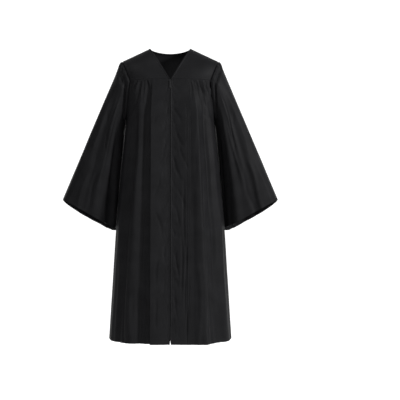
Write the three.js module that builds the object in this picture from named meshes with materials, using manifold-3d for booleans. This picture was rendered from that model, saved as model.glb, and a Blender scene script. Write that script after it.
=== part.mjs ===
// A graduation gown as it hangs on a wearer: hollow, open at the neck, the cuffs and the hem.
// Millimetres. +Z is up, the front faces -Y, and +X is the viewer's right.
// The origin is the middle of the neck, at the height of the shoulder seams beside it.
import * as THREE from "three";
import { mergeVertices } from "three/addons/utils/BufferGeometryUtils.js";
import Module from "manifold-3d";

const wasm = await Module();
wasm.setup();

// Driving sizes of the cloth.
const WALL = 1.6;
const SEAM = 0.3;
const HEM_Z = -1250;
const NECK_HALF = 88;
const NAPE = { y: 75, z: -10 };
const SHOULDER = { x: 207, z: -56 };
const YOKE_SEAM = { centreZ: -142, cornerX: 171, cornerZ: -148 };
const UNDERARM_Z = -308;
const ARMHOLE_CURVE = 1.3;
const STRIP = { topX: 75, hemX: 80 };
const EDGE_STEP = 3;
// Folds fade out over this width beside an armhole or a side seam.
const QUIET_EDGE = 26;

// Gap between the two fronts: wide at the slider, narrow along the zip, open again at the hem.
const FRONT_GAP = [
  { z: -142, half: 4.1 },
  { z: -166, half: 4.1 },
  { z: -190, half: 1.3 },
  { z: -1190, half: 1.3 },
  { z: -1250, half: 2.6 },
];

// The body's outline at each height: half width, depth to the front and to the back, squareness.
const SECTIONS = [
  { z: -130, halfWidth: 198, front: 111, back: 104, square: 3.2 },
  { z: -308, halfWidth: 191, front: 122, back: 113, square: 3.0 },
  { z: -510, halfWidth: 210, front: 134, back: 127, square: 2.7 },
  { z: -755, halfWidth: 233, front: 150, back: 144, square: 2.5 },
  { z: -1000, halfWidth: 249, front: 170, back: 164, square: 2.35 },
  { z: -1250, halfWidth: 265, front: 190, back: 184, square: 2.3 },
];

// Long folds of the body: angle from the centre front, half width, height where each begins,
// height where it is full, and depth. A negative depth is a valley.
const FOLDS_LEFT = [
  { top: 47, hem: 46, half: 17, begin: -150, full: -420, depth: 7 },
  { top: 55, hem: 58, half: 15, begin: -215, full: -380, depth: -6 },
  { top: 66, hem: 70, half: 17, begin: -170, full: -520, depth: 4.5 },
  { top: 37, hem: 35, half: 16, begin: -560, full: -900, depth: -5 },
];
const FOLDS_RIGHT = [
  { top: 44, hem: 45, half: 18, begin: -150, full: -430, depth: 7 },
  { top: 53, hem: 55, half: 14, begin: -190, full: -330, depth: -5 },
  { top: 64, hem: 68, half: 17, begin: -170, full: -480, depth: 5 },
  { top: 33, hem: 31, half: 17, begin: -540, full: -880, depth: -6 },
];
const FOLDS_BACK = [
  { top: -166, hem: -168, half: 17, begin: -150, full: -430, depth: 7 },
  { top: -153, hem: -154, half: 15, begin: -160, full: -460, depth: -6 },
  { top: -139, hem: -137, half: 18, begin: -150, full: -400, depth: 6.5 },
  { top: -123, hem: -120, half: 16, begin: -200, full: -520, depth: -5 },
  { top: 176, hem: 174, half: 15, begin: -190, full: -520, depth: -5.5 },
  { top: 161, hem: 160, half: 18, begin: -150, full: -420, depth: 7 },
  { top: 147, hem: 148, half: 14, begin: -170, full: -450, depth: -6 },
  { top: 134, hem: 131, half: 17, begin: -150, full: -410, depth: 6 },
  { top: 118, hem: 116, half: 17, begin: -210, full: -560, depth: -5 },
];

// Short gathers under the yoke seams: angle, half width, length down the cloth, depth.
const GATHERS = [
  { at: -61, half: 7, length: 45, depth: -2.6 },
  { at: -56, half: 7, length: 55, depth: 2.2 },
  { at: -51.5, half: 7, length: 60, depth: -2.8 },
  { at: -42.5, half: 7, length: 42, depth: -2.2 },
  { at: 46, half: 7, length: 46, depth: -2.2 },
  { at: 52, half: 8, length: 62, depth: -2.8 },
  { at: 57.5, half: 6, length: 52, depth: 2.4 },
  { at: 62, half: 6, length: 42, depth: -2.8 },
  { at: -118, half: 7, length: 48, depth: -2.6 },
  { at: -126, half: 8, length: 60, depth: 2.4 },
  { at: -133, half: 7, length: 52, depth: -2.6 },
  { at: -145, half: 8, length: 64, depth: -2.4 },
  { at: -160, half: 8, length: 50, depth: -2.4 },
  { at: 119, half: 7, length: 44, depth: -2.6 },
  { at: 127, half: 8, length: 58, depth: 2.2 },
  { at: 135, half: 7, length: 55, depth: -2.8 },
  { at: 153, half: 8, length: 62, depth: -2.4 },
  { at: 168, half: 8, length: 48, depth: -2.2 },
];

// The pressed pleat beside each front strip: how far the cloth behind its edge lies back,
// and how wide the way back to the surface is, at the yoke and at the hem.
const PLEAT_LEFT = { dropTop: 1.6, dropHem: 8, wayTop: 14, wayHem: 42 };
const PLEAT_RIGHT = { dropTop: 0.8, dropHem: 4, wayTop: 14, wayHem: 36 };

// Heights of the rings down the side seam, and the steps across a panel.
const PANEL_RINGS = [
  -148, -156, -166, -182, -205, -235, -262, -285, -300, -308, -365, -440, -535, -640, -755, -880,
  -1010, -1130, -1250,
];
const STRIP_STEPS = 6;
const SIDE_STEPS = 20;
const BACK_STEPS = 48;
const YOKE_RINGS = 6;
const YOKE_STEPS = 8;
const BACK_YOKE_STEPS = 20;

// The right cuff's outer and inner corner, its half depth, its tilt down to the back, how far
// its edge sags between the corners, and how much more it does so towards the inner one.
const CUFF = {
  outer: [469, 30, -655],
  inner: [230, 62, -772],
  halfDepth: 95,
  tilt: 15,
  sag: 12,
  skew: 0.3,
  square: 2.6,
};
// Rings of a sleeve: millimetres from the armhole, then parts of what is left to the cuff.
const SLEEVE_NEAR = [0, 8, 17, 27, 40, 62];
const SLEEVE_FAR = [0.1, 0.25, 0.43, 0.62, 0.81, 1];
const SLEEVE_CLEARANCE = 2.5;
const SLEEVE_CLEAR_BY = 60;
// The inner side of a sleeve lies beside the body where it would hang up to reach away.
const HUG = { gap: 1.5, reach: 60 };
// How the sleeve leaves the armhole: how far it runs on before it turns down, and how steeply.
const LEAVE = {
  top: { reach: 14, fall: 0.6 },
  front: { reach: 45, fall: 0.15 },
  under: { reach: 34, fall: 0.7, toBack: 0.9 },
};
const PUFF = { height: 3, at: 20 };
const GROOVE = { at: 27, half: 12, depth: 7 };
const CAP_GATHERS = { depth: 1.6, fadeBy: 55, spread: 0.2 };

// Folds of the sleeves: place round the tube at the armhole and at the cuff, where 0 is the
// outer edge, 0.25 the front, 0.5 the inner edge and 0.75 the back; half width and depth.
const SLEEVE_FOLDS_LEFT = [
  { top: 0.24, cuff: 0.29, half: 30, depth: 8 },
  { top: 0.36, cuff: 0.385, half: 24, depth: -8 },
  { top: 0.16, cuff: 0.21, half: 24, depth: -6 },
  { top: 0.08, cuff: 0.11, half: 28, depth: 4 },
  { top: 0.62, cuff: 0.61, half: 26, depth: -8 },
  { top: 0.73, cuff: 0.71, half: 30, depth: 8 },
  { top: 0.84, cuff: 0.81, half: 26, depth: -6 },
];
const SLEEVE_FOLDS_RIGHT = [
  { top: 0.25, cuff: 0.3, half: 30, depth: 8 },
  { top: 0.37, cuff: 0.39, half: 24, depth: -9 },
  { top: 0.17, cuff: 0.22, half: 25, depth: -6 },
  { top: 0.09, cuff: 0.12, half: 28, depth: 4 },
  { top: 0.64, cuff: 0.62, half: 26, depth: -8 },
  { top: 0.74, cuff: 0.73, half: 30, depth: 8 },
  { top: 0.86, cuff: 0.83, half: 26, depth: -6 },
];

// The zip: tape, slider, the bail that the tab hangs on, and the tab.
const TAPE = { inner: 0.4, thick: 1, short: 0.2 };
const SLIDER = { wide: 7.2, tall: 11, thick: 3.2, topZ: -146, back: 1.2 };
const BAIL = { standOff: 2.3, pinRadius: 0.6, postIn: 1.9, postOut: 2.8, reach: 0.75 };
const TAB = { holeRadius: 0.95, eyeRadius: 1.7, eyeWide: 3.2, wide: 6, thick: 1.3, long: 30 };
const TAB_SHOULDER = 2.4;
const ROUND_SIDES = 14;

const CLOTH = { color: 0x1c1c1f, roughness: 0.85, metalness: 0 };
const TAPE_LOOK = { color: 0x141416, roughness: 0.9, metalness: 0 };
const METAL = { color: 0x2a2a2c, roughness: 0.4, metalness: 0.9 };

const gown = new THREE.Group();

const lerp = THREE.MathUtils.lerp;
const radians = THREE.MathUtils.degToRad;

function ramp(value, from, to) {
  const t = THREE.MathUtils.clamp((value - from) / (to - from), 0, 1);
  return t * t * (3 - 2 * t);
}

// A soft hump of height 1 at 0 that ends at plus and minus half.
function hump(distance, half) {
  if (Math.abs(distance) >= half) return 0;
  return 0.5 + 0.5 * Math.cos((Math.PI * distance) / half);
}

// Reads one column of a table of heights, on a smooth curve through its rows.
function readTable(rows, z, column) {
  const last = rows.length - 1;
  let i = 0;
  while (i < last - 1 && z < rows[i + 1].z) i += 1;
  const t = THREE.MathUtils.clamp((z - rows[i].z) / (rows[i + 1].z - rows[i].z), 0, 1);
  const step = rows[i + 1].z - rows[i].z;
  const slope = (a, b) => (rows[b][column] - rows[a][column]) / (rows[b].z - rows[a].z);
  const before = slope(Math.max(i - 1, 0), Math.min(i + 1, last));
  const after = slope(i, Math.min(i + 2, last));
  const a = rows[i][column];
  const b = rows[i + 1][column];
  const t2 = t * t;
  const t3 = t2 * t;
  return (
    (2 * t3 - 3 * t2 + 1) * a +
    (t3 - 2 * t2 + t) * step * before +
    (3 * t2 - 2 * t3) * b +
    (t3 - t2) * step * after
  );
}

function straightTable(rows, z, column) {
  let i = 0;
  while (i < rows.length - 2 && z < rows[i + 1].z) i += 1;
  const t = THREE.MathUtils.clamp((z - rows[i].z) / (rows[i + 1].z - rows[i].z), 0, 1);
  return lerp(rows[i][column], rows[i + 1][column], t);
}

// Distance of the smooth body from its axis, at a height and an angle from the centre front.
function bodyRadius(z, angle) {
  const power = readTable(SECTIONS, z, "square");
  const depth = readTable(SECTIONS, z, Math.cos(angle) > 0 ? "front" : "back");
  const across = Math.abs(Math.sin(angle)) / readTable(SECTIONS, z, "halfWidth");
  const along = Math.abs(Math.cos(angle)) / depth;
  return (across ** power + along ** power) ** (-1 / power);
}

function bodyPoint(z, angle, out) {
  const r = bodyRadius(z, angle) + out;
  return new THREE.Vector3(r * Math.sin(angle), -r * Math.cos(angle), z);
}

// The angle at which the front or the back stands at a given distance from the middle.
function angleAtX(z, x, back) {
  let low = 0;
  let high = Math.PI / 2;
  for (let i = 0; i < 40; i += 1) {
    const middle = (low + high) / 2;
    const angle = back ? Math.PI - middle : middle;
    if (bodyRadius(z, angle) * Math.sin(middle) < x) low = middle;
    else high = middle;
  }
  return back ? Math.PI - low : low;
}

function armholeX(z) {
  const t = (YOKE_SEAM.cornerZ - z) / (YOKE_SEAM.cornerZ - UNDERARM_Z);
  const reach = readTable(SECTIONS, UNDERARM_Z, "halfWidth") - YOKE_SEAM.cornerX;
  return YOKE_SEAM.cornerX + reach * Math.max(t, 0) ** ARMHOLE_CURVE;
}

// The angle where a panel ends: at the armhole above the underarm, at the side seam below it.
function sideAngle(z, back) {
  const seam = SEAM / 2 / readTable(SECTIONS, z, "halfWidth");
  if (z <= UNDERARM_Z) return Math.PI / 2 + (back ? seam : -seam);
  return angleAtX(z, armholeX(z), back);
}

function foldsOut(folds, z, angle) {
  let out = 0;
  const down = (YOKE_SEAM.cornerZ - z) / (YOKE_SEAM.cornerZ - HEM_Z);
  for (const fold of folds) {
    const at = radians(lerp(fold.top, fold.hem, down));
    let off = angle - at;
    off = Math.atan2(Math.sin(off), Math.cos(off));
    const half = fold.half * (1 + 0.6 * down);
    out += fold.depth * ramp(-z, -fold.begin, -fold.full) * hump(off * bodyRadius(z, angle), half);
  }
  return out;
}

function gathersOut(z, angle) {
  let out = 0;
  const below = YOKE_SEAM.cornerZ - z;
  for (const gather of GATHERS) {
    const off = (angle - radians(gather.at)) * bodyRadius(z, angle);
    const fade = ramp(below, 1, 16) * (1 - ramp(below, gather.length * 0.4, gather.length));
    out += gather.depth * fade * hump(off, gather.half);
  }
  return out;
}

function pleatOut(pleat, z, distance) {
  const down = (YOKE_SEAM.cornerZ - z) / (YOKE_SEAM.cornerZ - HEM_Z);
  const drop = lerp(pleat.dropTop, pleat.dropHem, Math.sqrt(Math.max(down, 0))) * ramp(-z, 146, 190);
  const way = lerp(pleat.wayTop, pleat.wayHem, down);
  return -drop * (1 - ramp(distance, 0, way));
}

// Builds a closed wall of cloth from a grid of points on its outside. The inside lies one
// wall behind, along the grid's own normals. tidy may straighten a normal at a seam.
function wallMesh(name, outer, look, closedRound, tidy, first = 0, thick = WALL) {
  const rows = outer.length;
  const columns = outer[0].length;
  const normals = gridNormals(outer, closedRound);
  const shift = (i, j, depth) => {
    const normal = normals[i][j].clone();
    if (tidy) tidy(normal, i, j, outer[i][j]);
    return outer[i][j].clone().addScaledVector(normal.normalize(), -depth);
  };
  const positions = [];
  for (const depth of [first, first + thick])
    for (let i = 0; i < rows; i += 1)
      for (let j = 0; j < columns; j += 1) positions.push(...shift(i, j, depth).toArray());
  const inside = rows * columns;
  const index = [];
  const quad = (a, b, c, d) => index.push(a, b, c, a, c, d);
  const across = closedRound ? columns : columns - 1;
  for (let i = 0; i < rows - 1; i += 1)
    for (let j = 0; j < across; j += 1) {
      const k = (j + 1) % columns;
      const [a, b, c, d] = [i * columns + j, i * columns + k, (i + 1) * columns + k, (i + 1) * columns + j];
      quad(a, d, c, b);
      quad(a + inside, b + inside, c + inside, d + inside);
    }
  for (let j = 0; j < across; j += 1) {
    const k = (j + 1) % columns;
    const low = (rows - 1) * columns;
    quad(j, k, k + inside, j + inside);
    quad(low + k, low + j, low + j + inside, low + k + inside);
  }
  if (!closedRound)
    for (let i = 0; i < rows - 1; i += 1) {
      const a = i * columns;
      const b = a + columns - 1;
      quad(a + columns, a, a + inside, a + columns + inside);
      quad(b, b + columns, b + columns + inside, b + inside);
    }
  const geometry = new THREE.BufferGeometry();
  geometry.setAttribute("position", new THREE.Float32BufferAttribute(positions, 3));
  geometry.setIndex(index);
  addPiece(name, geometry, look);
}

// Normals of a grid whose rows run down and whose columns run towards the viewer's right
// when seen from outside.
function gridNormals(grid, closedRound) {
  const rows = grid.length;
  const columns = grid[0].length;
  return grid.map((row, i) =>
    row.map((point, j) => {
      const above = grid[Math.max(i - 1, 0)][j];
      const below = grid[Math.min(i + 1, rows - 1)][j];
      const left = closedRound ? row[(j + columns - 1) % columns] : row[Math.max(j - 1, 0)];
      const right = closedRound ? row[(j + 1) % columns] : row[Math.min(j + 1, columns - 1)];
      const downwards = below.clone().sub(above);
      const sideways = right.clone().sub(left);
      return downwards.cross(sideways).normalize();
    }),
  );
}

function addPiece(name, geometry, look) {
  const mesh = new THREE.Mesh(geometry, new THREE.MeshStandardMaterial(look));
  mesh.name = name;
  gown.add(mesh);
}

// Height of a point of a panel, whose top edge follows the yoke seam.
function panelHeight(sideZ, part) {
  const down = (YOKE_SEAM.cornerZ - sideZ) / (YOKE_SEAM.cornerZ - HEM_Z);
  const top = lerp(YOKE_SEAM.centreZ, YOKE_SEAM.cornerZ, part) - SEAM / 2;
  return lerp(top, HEM_Z, down);
}

// Angles of a front's columns on one ring: across the strip, then from behind its edge round
// to the armhole or the side seam.
function frontAngles(sideZ) {
  const down = (YOKE_SEAM.cornerZ - sideZ) / (YOKE_SEAM.cornerZ - HEM_Z);
  const edgeX = lerp(STRIP.topX, STRIP.hemX, down);
  const start = angleAtX(sideZ, straightTable(FRONT_GAP, sideZ, "half"), false);
  const edge = angleAtX(sideZ, edgeX, false);
  const behind = angleAtX(sideZ, edgeX + EDGE_STEP, false);
  const end = sideAngle(sideZ, false);
  const angles = [];
  for (let k = 0; k <= STRIP_STEPS; k += 1) angles.push(lerp(start, edge, k / STRIP_STEPS));
  for (let k = 0; k <= SIDE_STEPS; k += 1) angles.push(lerp(behind, end, k / SIDE_STEPS));
  return angles;
}

// Where a column stands along the yoke seam, from 0 in the middle to 1 at the corner.
function seamPart(angle) {
  const z = PANEL_RINGS[0];
  return Math.abs(bodyRadius(z, angle) * Math.sin(angle)) / YOKE_SEAM.cornerX;
}

// How far the cloth beside a front strip stands out of the smooth body. part is 0 behind the
// strip's edge and 1 at the armhole or the side seam.
function frontOut(z, angle, side, behind, part) {
  const folds = side < 0 ? FOLDS_LEFT : FOLDS_RIGHT;
  const pleat = side < 0 ? PLEAT_LEFT : PLEAT_RIGHT;
  const distance = (angle - behind) * bodyRadius(z, angle);
  const quiet = ramp(distance * (1 / part - 1), 0, QUIET_EDGE);
  const folded = foldsOut(folds, z, angle) + gathersOut(z, side * angle);
  return folded * quiet + pleatOut(pleat, z, distance);
}

// The same for the back, where part is 0 in the middle. angle is below 0 on the viewer's left.
function backOut(z, angle, part) {
  const fromMiddle = (Math.PI - Math.abs(angle)) * bodyRadius(z, angle);
  const quiet = part > 0 ? ramp(fromMiddle * (1 / part - 1), 0, QUIET_EDGE) : 1;
  return (foldsOut(FOLDS_BACK, z, angle) + gathersOut(z, angle)) * quiet;
}

// How far the cloth stands out beside a sleeve. angle is measured as if on the right side.
function clothOut(z, angle, side) {
  const height = Math.min(z, PANEL_RINGS[0]);
  if (angle > Math.PI / 2) {
    const end = sideAngle(height, true);
    return backOut(z, side * angle, (Math.PI - angle) / (Math.PI - end));
  }
  const angles = frontAngles(height);
  const behind = angles[STRIP_STEPS + 1];
  const part = (angle - behind) / (angles[angles.length - 1] - behind);
  return part > 0 ? frontOut(z, angle, side, behind, part) : 0;
}

// One front. side is -1 for the viewer's left and 1 for the right.
function frontGrid(side) {
  const parts = frontAngles(PANEL_RINGS[0]).map(seamPart);
  return PANEL_RINGS.map((sideZ) => {
    const angles = frontAngles(sideZ);
    const behind = angles[STRIP_STEPS + 1];
    const row = angles.map((angle, k) => {
      const z = panelHeight(sideZ, parts[k]);
      if (k <= STRIP_STEPS) return bodyPoint(z, side * angle, 0);
      const part = Math.max(k - STRIP_STEPS - 1, 0.001) / SIDE_STEPS;
      return bodyPoint(z, side * angle, frontOut(z, angle, side, behind, part));
    });
    return side < 0 ? row.reverse() : row;
  });
}

function backAngles(sideZ) {
  const end = sideAngle(sideZ, true);
  const angles = [];
  for (let k = 0; k <= BACK_STEPS; k += 1) {
    const part = (2 * k) / BACK_STEPS - 1;
    const angle = Math.PI - Math.abs(part) * (Math.PI - end);
    angles.push(part < 0 ? angle : -angle);
  }
  return angles;
}

function backGrid() {
  const parts = backAngles(PANEL_RINGS[0]).map(seamPart);
  return PANEL_RINGS.map((sideZ) =>
    backAngles(sideZ).map((angle, k) => {
      const z = panelHeight(sideZ, parts[k]);
      return bodyPoint(z, angle, backOut(z, angle, Math.abs((2 * k) / BACK_STEPS - 1)));
    }),
  );
}

// A seam's wall stands square to it: level under a yoke, and sideways at a side seam.
function panelTidy(columns, atSide) {
  return (normal, i, j) => {
    if (i === 0) normal.z = 0;
    if (atSide(j, columns) && PANEL_RINGS[i] <= UNDERARM_Z) normal.y = 0;
  };
}

// The point of a yoke between its top edge and its seam: a quarter of an ellipse from the
// level top to the upright seam.
function yokePoint(top, seam, turn) {
  const fall = Math.cos(turn);
  const out = Math.sin(turn);
  return new THREE.Vector3(
    lerp(seam.x, top.x, fall),
    lerp(top.y, seam.y, out),
    lerp(seam.z, top.z, fall),
  );
}

function yokeSeamPoint(part, startX, back) {
  const x = lerp(startX, YOKE_SEAM.cornerX, part);
  const z = lerp(YOKE_SEAM.centreZ, YOKE_SEAM.cornerZ, x / YOKE_SEAM.cornerX) + SEAM / 2;
  const angle = angleAtX(z, x, back);
  return bodyPoint(z, angle, 0);
}

function frontYokeGrid(side) {
  const grid = [];
  for (let i = 0; i <= YOKE_RINGS; i += 1) {
    const turn = (Math.PI / 2) * (i / YOKE_RINGS);
    const row = [];
    for (let j = 0; j <= YOKE_STEPS; j += 1) {
      const part = j / YOKE_STEPS;
      const top = new THREE.Vector3(
        lerp(NECK_HALF, SHOULDER.x, part),
        -SEAM / 2,
        lerp(0, SHOULDER.z, part),
      );
      const seam = yokeSeamPoint(part, FRONT_GAP[0].half - 1, false);
      const point = yokePoint(top, seam, turn);
      point.x *= side;
      row.push(point);
    }
    grid.push(side < 0 ? row.reverse() : row);
  }
  return grid;
}

// Half of the back yoke's top edge: round the nape, then out along the shoulder seam.
function backYokeTop(part) {
  const neckPart = 0.42;
  if (part < neckPart) {
    const turn = (Math.PI / 2) * (part / neckPart);
    const y = (NAPE.y - SEAM / 2) * Math.cos(turn) + SEAM / 2;
    return new THREE.Vector3(NECK_HALF * Math.sin(turn), y, NAPE.z * Math.cos(turn) ** 2);
  }
  const along = (part - neckPart) / (1 - neckPart);
  return new THREE.Vector3(lerp(NECK_HALF, SHOULDER.x, along), SEAM / 2, SHOULDER.z * along);
}

function backYokeGrid() {
  const grid = [];
  for (let i = 0; i <= YOKE_RINGS; i += 1) {
    const turn = (Math.PI / 2) * (i / YOKE_RINGS);
    const row = [];
    for (let j = 0; j <= BACK_YOKE_STEPS; j += 1) {
      const signed = 1 - (2 * j) / BACK_YOKE_STEPS;
      const side = signed < 0 ? -1 : 1;
      const part = Math.abs(signed);
      const point = yokePoint(backYokeTop(part), yokeSeamPoint(part, 0, true), turn);
      point.x *= side;
      row.push(point);
    }
    grid.push(row);
  }
  return grid;
}

// The right armhole, from the shoulder down the front to the underarm and up the back,
// read from the edges of the pieces that end there.
function armholeLoop() {
  const yoke = frontYokeGrid(1).map((row) => row[row.length - 1]);
  const front = frontGrid(1).map((row) => row[row.length - 1]);
  const backYoke = backYokeGrid().map((row) => row[0]);
  const back = backGrid().map((row) => row[0]);
  const down = PANEL_RINGS.indexOf(UNDERARM_Z);
  const half = (yokeEdge, panelEdge) => {
    const points = [];
    for (let i = 0; i < yokeEdge.length - 1; i += 1) {
      points.push(yokeEdge[i].clone());
      points.push(yokeEdge[i].clone().lerp(yokeEdge[i + 1], 0.5));
    }
    points.push(yokeEdge[yokeEdge.length - 1].clone());
    for (let i = 1; i <= down; i += 1) points.push(panelEdge[i].clone());
    return points;
  };
  return { front: half(yoke, front), back: half(backYoke, back) };
}

// How far each point of one half of the armhole lies along it, from 0 to 1.
function lengthParts(points) {
  const lengths = [0];
  for (let i = 1; i < points.length; i += 1)
    lengths.push(lengths[i - 1] + points[i].distanceTo(points[i - 1]));
  return lengths.map((length) => length / lengths[lengths.length - 1]);
}

// A point of the right cuff. place is 0 at the outer edge, 0.25 in front, 0.5 inside.
function cuffPoint(place) {
  const outer = new THREE.Vector3(...CUFF.outer);
  const inner = new THREE.Vector3(...CUFF.inner);
  const middle = outer.clone().add(inner).multiplyScalar(0.5);
  const along = outer.clone().sub(inner).multiplyScalar(0.5);
  const c = Math.cos(2 * Math.PI * place);
  const s = Math.sin(2 * Math.PI * place);
  const r = (Math.abs(c) ** CUFF.square + Math.abs(s) ** CUFF.square) ** (-1 / CUFF.square);
  const front = new THREE.Vector3(0, -CUFF.halfDepth, CUFF.tilt);
  const point = middle.addScaledVector(along, r * c).addScaledVector(front, r * s);
  point.z -= CUFF.sag * Math.abs(r * s) * (1 - CUFF.skew * r * c);
  return point;
}

// Height of the armhole's edge at an angle from the centre front.
function armholeHeight(angle) {
  const back = Math.abs(angle) > Math.PI / 2;
  let high = YOKE_SEAM.cornerZ;
  let low = UNDERARM_Z;
  for (let i = 0; i < 24; i += 1) {
    const middle = (low + high) / 2;
    const edge = sideAngle(middle, back);
    if (back ? edge > angle : edge < angle) high = middle;
    else low = middle;
  }
  return low;
}

// Moves a point of a sleeve out of the body's cloth, and then clear of it further down.
function clearOfBody(point, fromArmhole, side, hold = 0) {
  const angle = Math.atan2(point.x, -point.y);
  if (point.z > armholeHeight(angle) + WALL) return;
  const gap = lerp(SEAM, SLEEVE_CLEARANCE, ramp(fromArmhole, 0, SLEEVE_CLEAR_BY));
  const least = bodyRadius(point.z, angle) + clothOut(point.z, angle, side) + gap;
  const r = Math.hypot(point.x, point.y);
  const beyond = THREE.MathUtils.clamp((r - least) / HUG.reach, 0, 1);
  const held = lerp(Math.max(r, least), least + HUG.gap, hold * (1 - beyond ** 2));
  point.x *= held / r;
  point.y *= held / r;
}

// How closely a sleeve's inner side is held beside the body.
function holdPart(place, gone, along) {
  const fromTop = Math.min(place, 1 - place);
  return ramp(fromTop, 0.37, 0.46) * ramp(gone, 0, 12) * (1 - ramp(along, 0.75, 1));
}

// The line of the cloth from the armhole to the cuff at one place round the sleeve.
function sleeveLine(start, place) {
  const fromTop = Math.min(place, 1 - place);
  const end = fromTop < 0.25 ? LEAVE.top : LEAVE.under;
  const level = Math.sin(2 * Math.PI * fromTop) ** 2;
  const reach = lerp(end.reach, LEAVE.front.reach, level);
  const fall = lerp(end.fall, LEAVE.front.fall, level);
  const cuff = cuffPoint(place);
  const toBack = LEAVE.under.toBack * ramp(fromTop, 0.3, 0.5);
  const out = new THREE.Vector3(1, toBack, -fall).normalize();
  return new THREE.CubicBezierCurve3(
    start,
    start.clone().addScaledVector(out, reach),
    start.clone().lerp(cuff, 0.5).addScaledVector(out, reach * 0.4),
    cuff,
  );
}

function sleeveGrid(side) {
  const loop = armholeLoop();
  const frontParts = lengthParts(loop.front);
  const backParts = lengthParts(loop.back);
  const starts = loop.front.map((point, i) => ({ point, place: frontParts[i] / 2 }));
  for (let i = loop.back.length - 2; i > 0; i -= 1)
    starts.push({ point: loop.back[i], place: 1 - backParts[i] / 2 });
  starts[0].point.y = 0;
  starts[loop.front.length - 1].point.y = 0;
  starts.reverse();
  const folds = side < 0 ? SLEEVE_FOLDS_LEFT : SLEEVE_FOLDS_RIGHT;
  const smooth = SLEEVE_NEAR.concat(SLEEVE_FAR).map((step, ring) =>
    starts.map(({ point, place }) => {
      const line = sleeveLine(point.clone().add(new THREE.Vector3(SEAM, 0, 0)), place);
      const length = line.getLength();
      const near = SLEEVE_NEAR[SLEEVE_NEAR.length - 1];
      const gone = ring < SLEEVE_NEAR.length ? step : near + (length - near) * step;
      const at = line.getPointAt(gone / length);
      const along = gone / length;
      clearOfBody(at, gone, side, holdPart(place, gone, along));
      return { at, gone, along, place };
    }),
  );
  const normals = gridNormals(smooth.map((row) => row.map((spot) => spot.at)), true);
  const grid = smooth.map((row, i) =>
    row.map((spot, j) => {
      const out = sleeveOut(spot, folds, j);
      const point = spot.at.clone().addScaledVector(normals[i][j], out);
      clearOfBody(point, spot.gone, side);
      point.x *= side;
      return point;
    }),
  );
  if (side > 0) return grid;
  return grid.map((row) => row.slice().reverse());
}

// A sleeve's first ring lies beside the cloth of the yokes and the body, so its wall goes
// straight in from the seam above, and stands straight out from the body below.
function sleeveTidy(side) {
  return (normal, i, j, point) => {
    if (i > 0) return;
    normal.x = side * Math.min(side * normal.x, 0);
    const low = ramp(-point.z, 170, 250);
    normal.lerp(new THREE.Vector3(-side, 0, -0.2), low);
  };
}

// How far a sleeve's cloth stands out of its smooth tube.
function sleeveOut(spot, folds, column) {
  const { gone, along, place } = spot;
  const fromTop = Math.min(place, 1 - place);
  const puff = PUFF.height * (gone / PUFF.at) * Math.exp(1 - gone / PUFF.at);
  const cap = 1 - ramp(fromTop, 0.18, 0.42);
  const groove = ramp(fromTop, 0.03, 0.14) * (1 - ramp(fromTop, 0.36, 0.47));
  let out = puff * cap - GROOVE.depth * groove * hump(gone - GROOVE.at, GROOVE.half);
  const wave = column % 2 === 0 ? 1 : -1;
  const near = ramp(gone, 0, 8) * (1 - ramp(gone, 12, CAP_GATHERS.fadeBy));
  out += wave * CAP_GATHERS.depth * near * (1 - ramp(fromTop, CAP_GATHERS.spread * 0.6, CAP_GATHERS.spread));
  const around = lerp(560, 740, along);
  for (const fold of folds) {
    const off = (place - lerp(fold.top, fold.cuff, along)) * around;
    out += fold.depth * ramp(gone, 25, 230) * hump(off, fold.half);
  }
  return out;
}

// A tape behind a front: made from the front's first columns, moved in, and a little shorter.
function tapeGrid(side) {
  const front = frontGrid(side);
  const last = front.length - 1;
  front[last] = front[last].map((point, j) => point.clone().lerp(front[last - 1][j], TAPE.short));
  return front.map((row) => {
    const near = side < 0 ? row.slice(-2).reverse() : row.slice(0, 2);
    const edge = near[0].clone();
    edge.x = side * TAPE.inner;
    const far = near[0].clone().lerp(near[1], 0.8);
    const line = [edge, near[0].clone(), far];
    return side < 0 ? line.reverse() : line;
  });
}

function toSolid(geometry) {
  geometry.deleteAttribute("normal");
  geometry.deleteAttribute("uv");
  const merged = mergeVertices(geometry, 1e-4);
  return new wasm.Manifold(
    new wasm.Mesh({
      numProp: 3,
      vertProperties: new Float32Array(merged.attributes.position.array),
      triVerts: new Uint32Array(merged.index.array),
    }),
  );
}

function fromSolid(solid) {
  const mesh = solid.getMesh();
  const geometry = new THREE.BufferGeometry();
  geometry.setAttribute("position", new THREE.BufferAttribute(mesh.vertProperties, 3));
  geometry.setIndex(new THREE.BufferAttribute(mesh.triVerts, 1));
  return geometry;
}

// The middle of the closed zip, in front, at a height.
function zipFront(z) {
  return -bodyRadius(z, 0);
}

function roundedPlate(wide, tall, corner, thick) {
  const [x, z] = [wide / 2, tall / 2];
  const shape = new THREE.Shape();
  shape.moveTo(-x + corner, -z);
  shape.lineTo(x - corner, -z);
  shape.absarc(x - corner, -z + corner, corner, -Math.PI / 2, 0);
  shape.lineTo(x, z - corner);
  shape.absarc(x - corner, z - corner, corner, 0, Math.PI / 2);
  shape.lineTo(-x + corner, z);
  shape.absarc(-x + corner, z - corner, corner, Math.PI / 2, Math.PI);
  shape.lineTo(-x, -z + corner);
  shape.absarc(-x + corner, -z + corner, corner, Math.PI, 1.5 * Math.PI);
  const plate = new THREE.ExtrudeGeometry(shape, { depth: thick, bevelEnabled: false, curveSegments: 4 });
  plate.translate(0, 0, -thick / 2);
  plate.rotateX(Math.PI / 2);
  return plate;
}

function pin(radius, length) {
  const rod = new THREE.CylinderGeometry(radius, radius, length, ROUND_SIDES);
  rod.rotateZ(Math.PI / 2);
  return rod;
}

function hingePoint() {
  const z = SLIDER.topZ - SLIDER.tall * 0.45;
  const face = zipFront(z) + SLIDER.back - SLIDER.thick;
  return new THREE.Vector3(0, face - BAIL.standOff, z);
}

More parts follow.
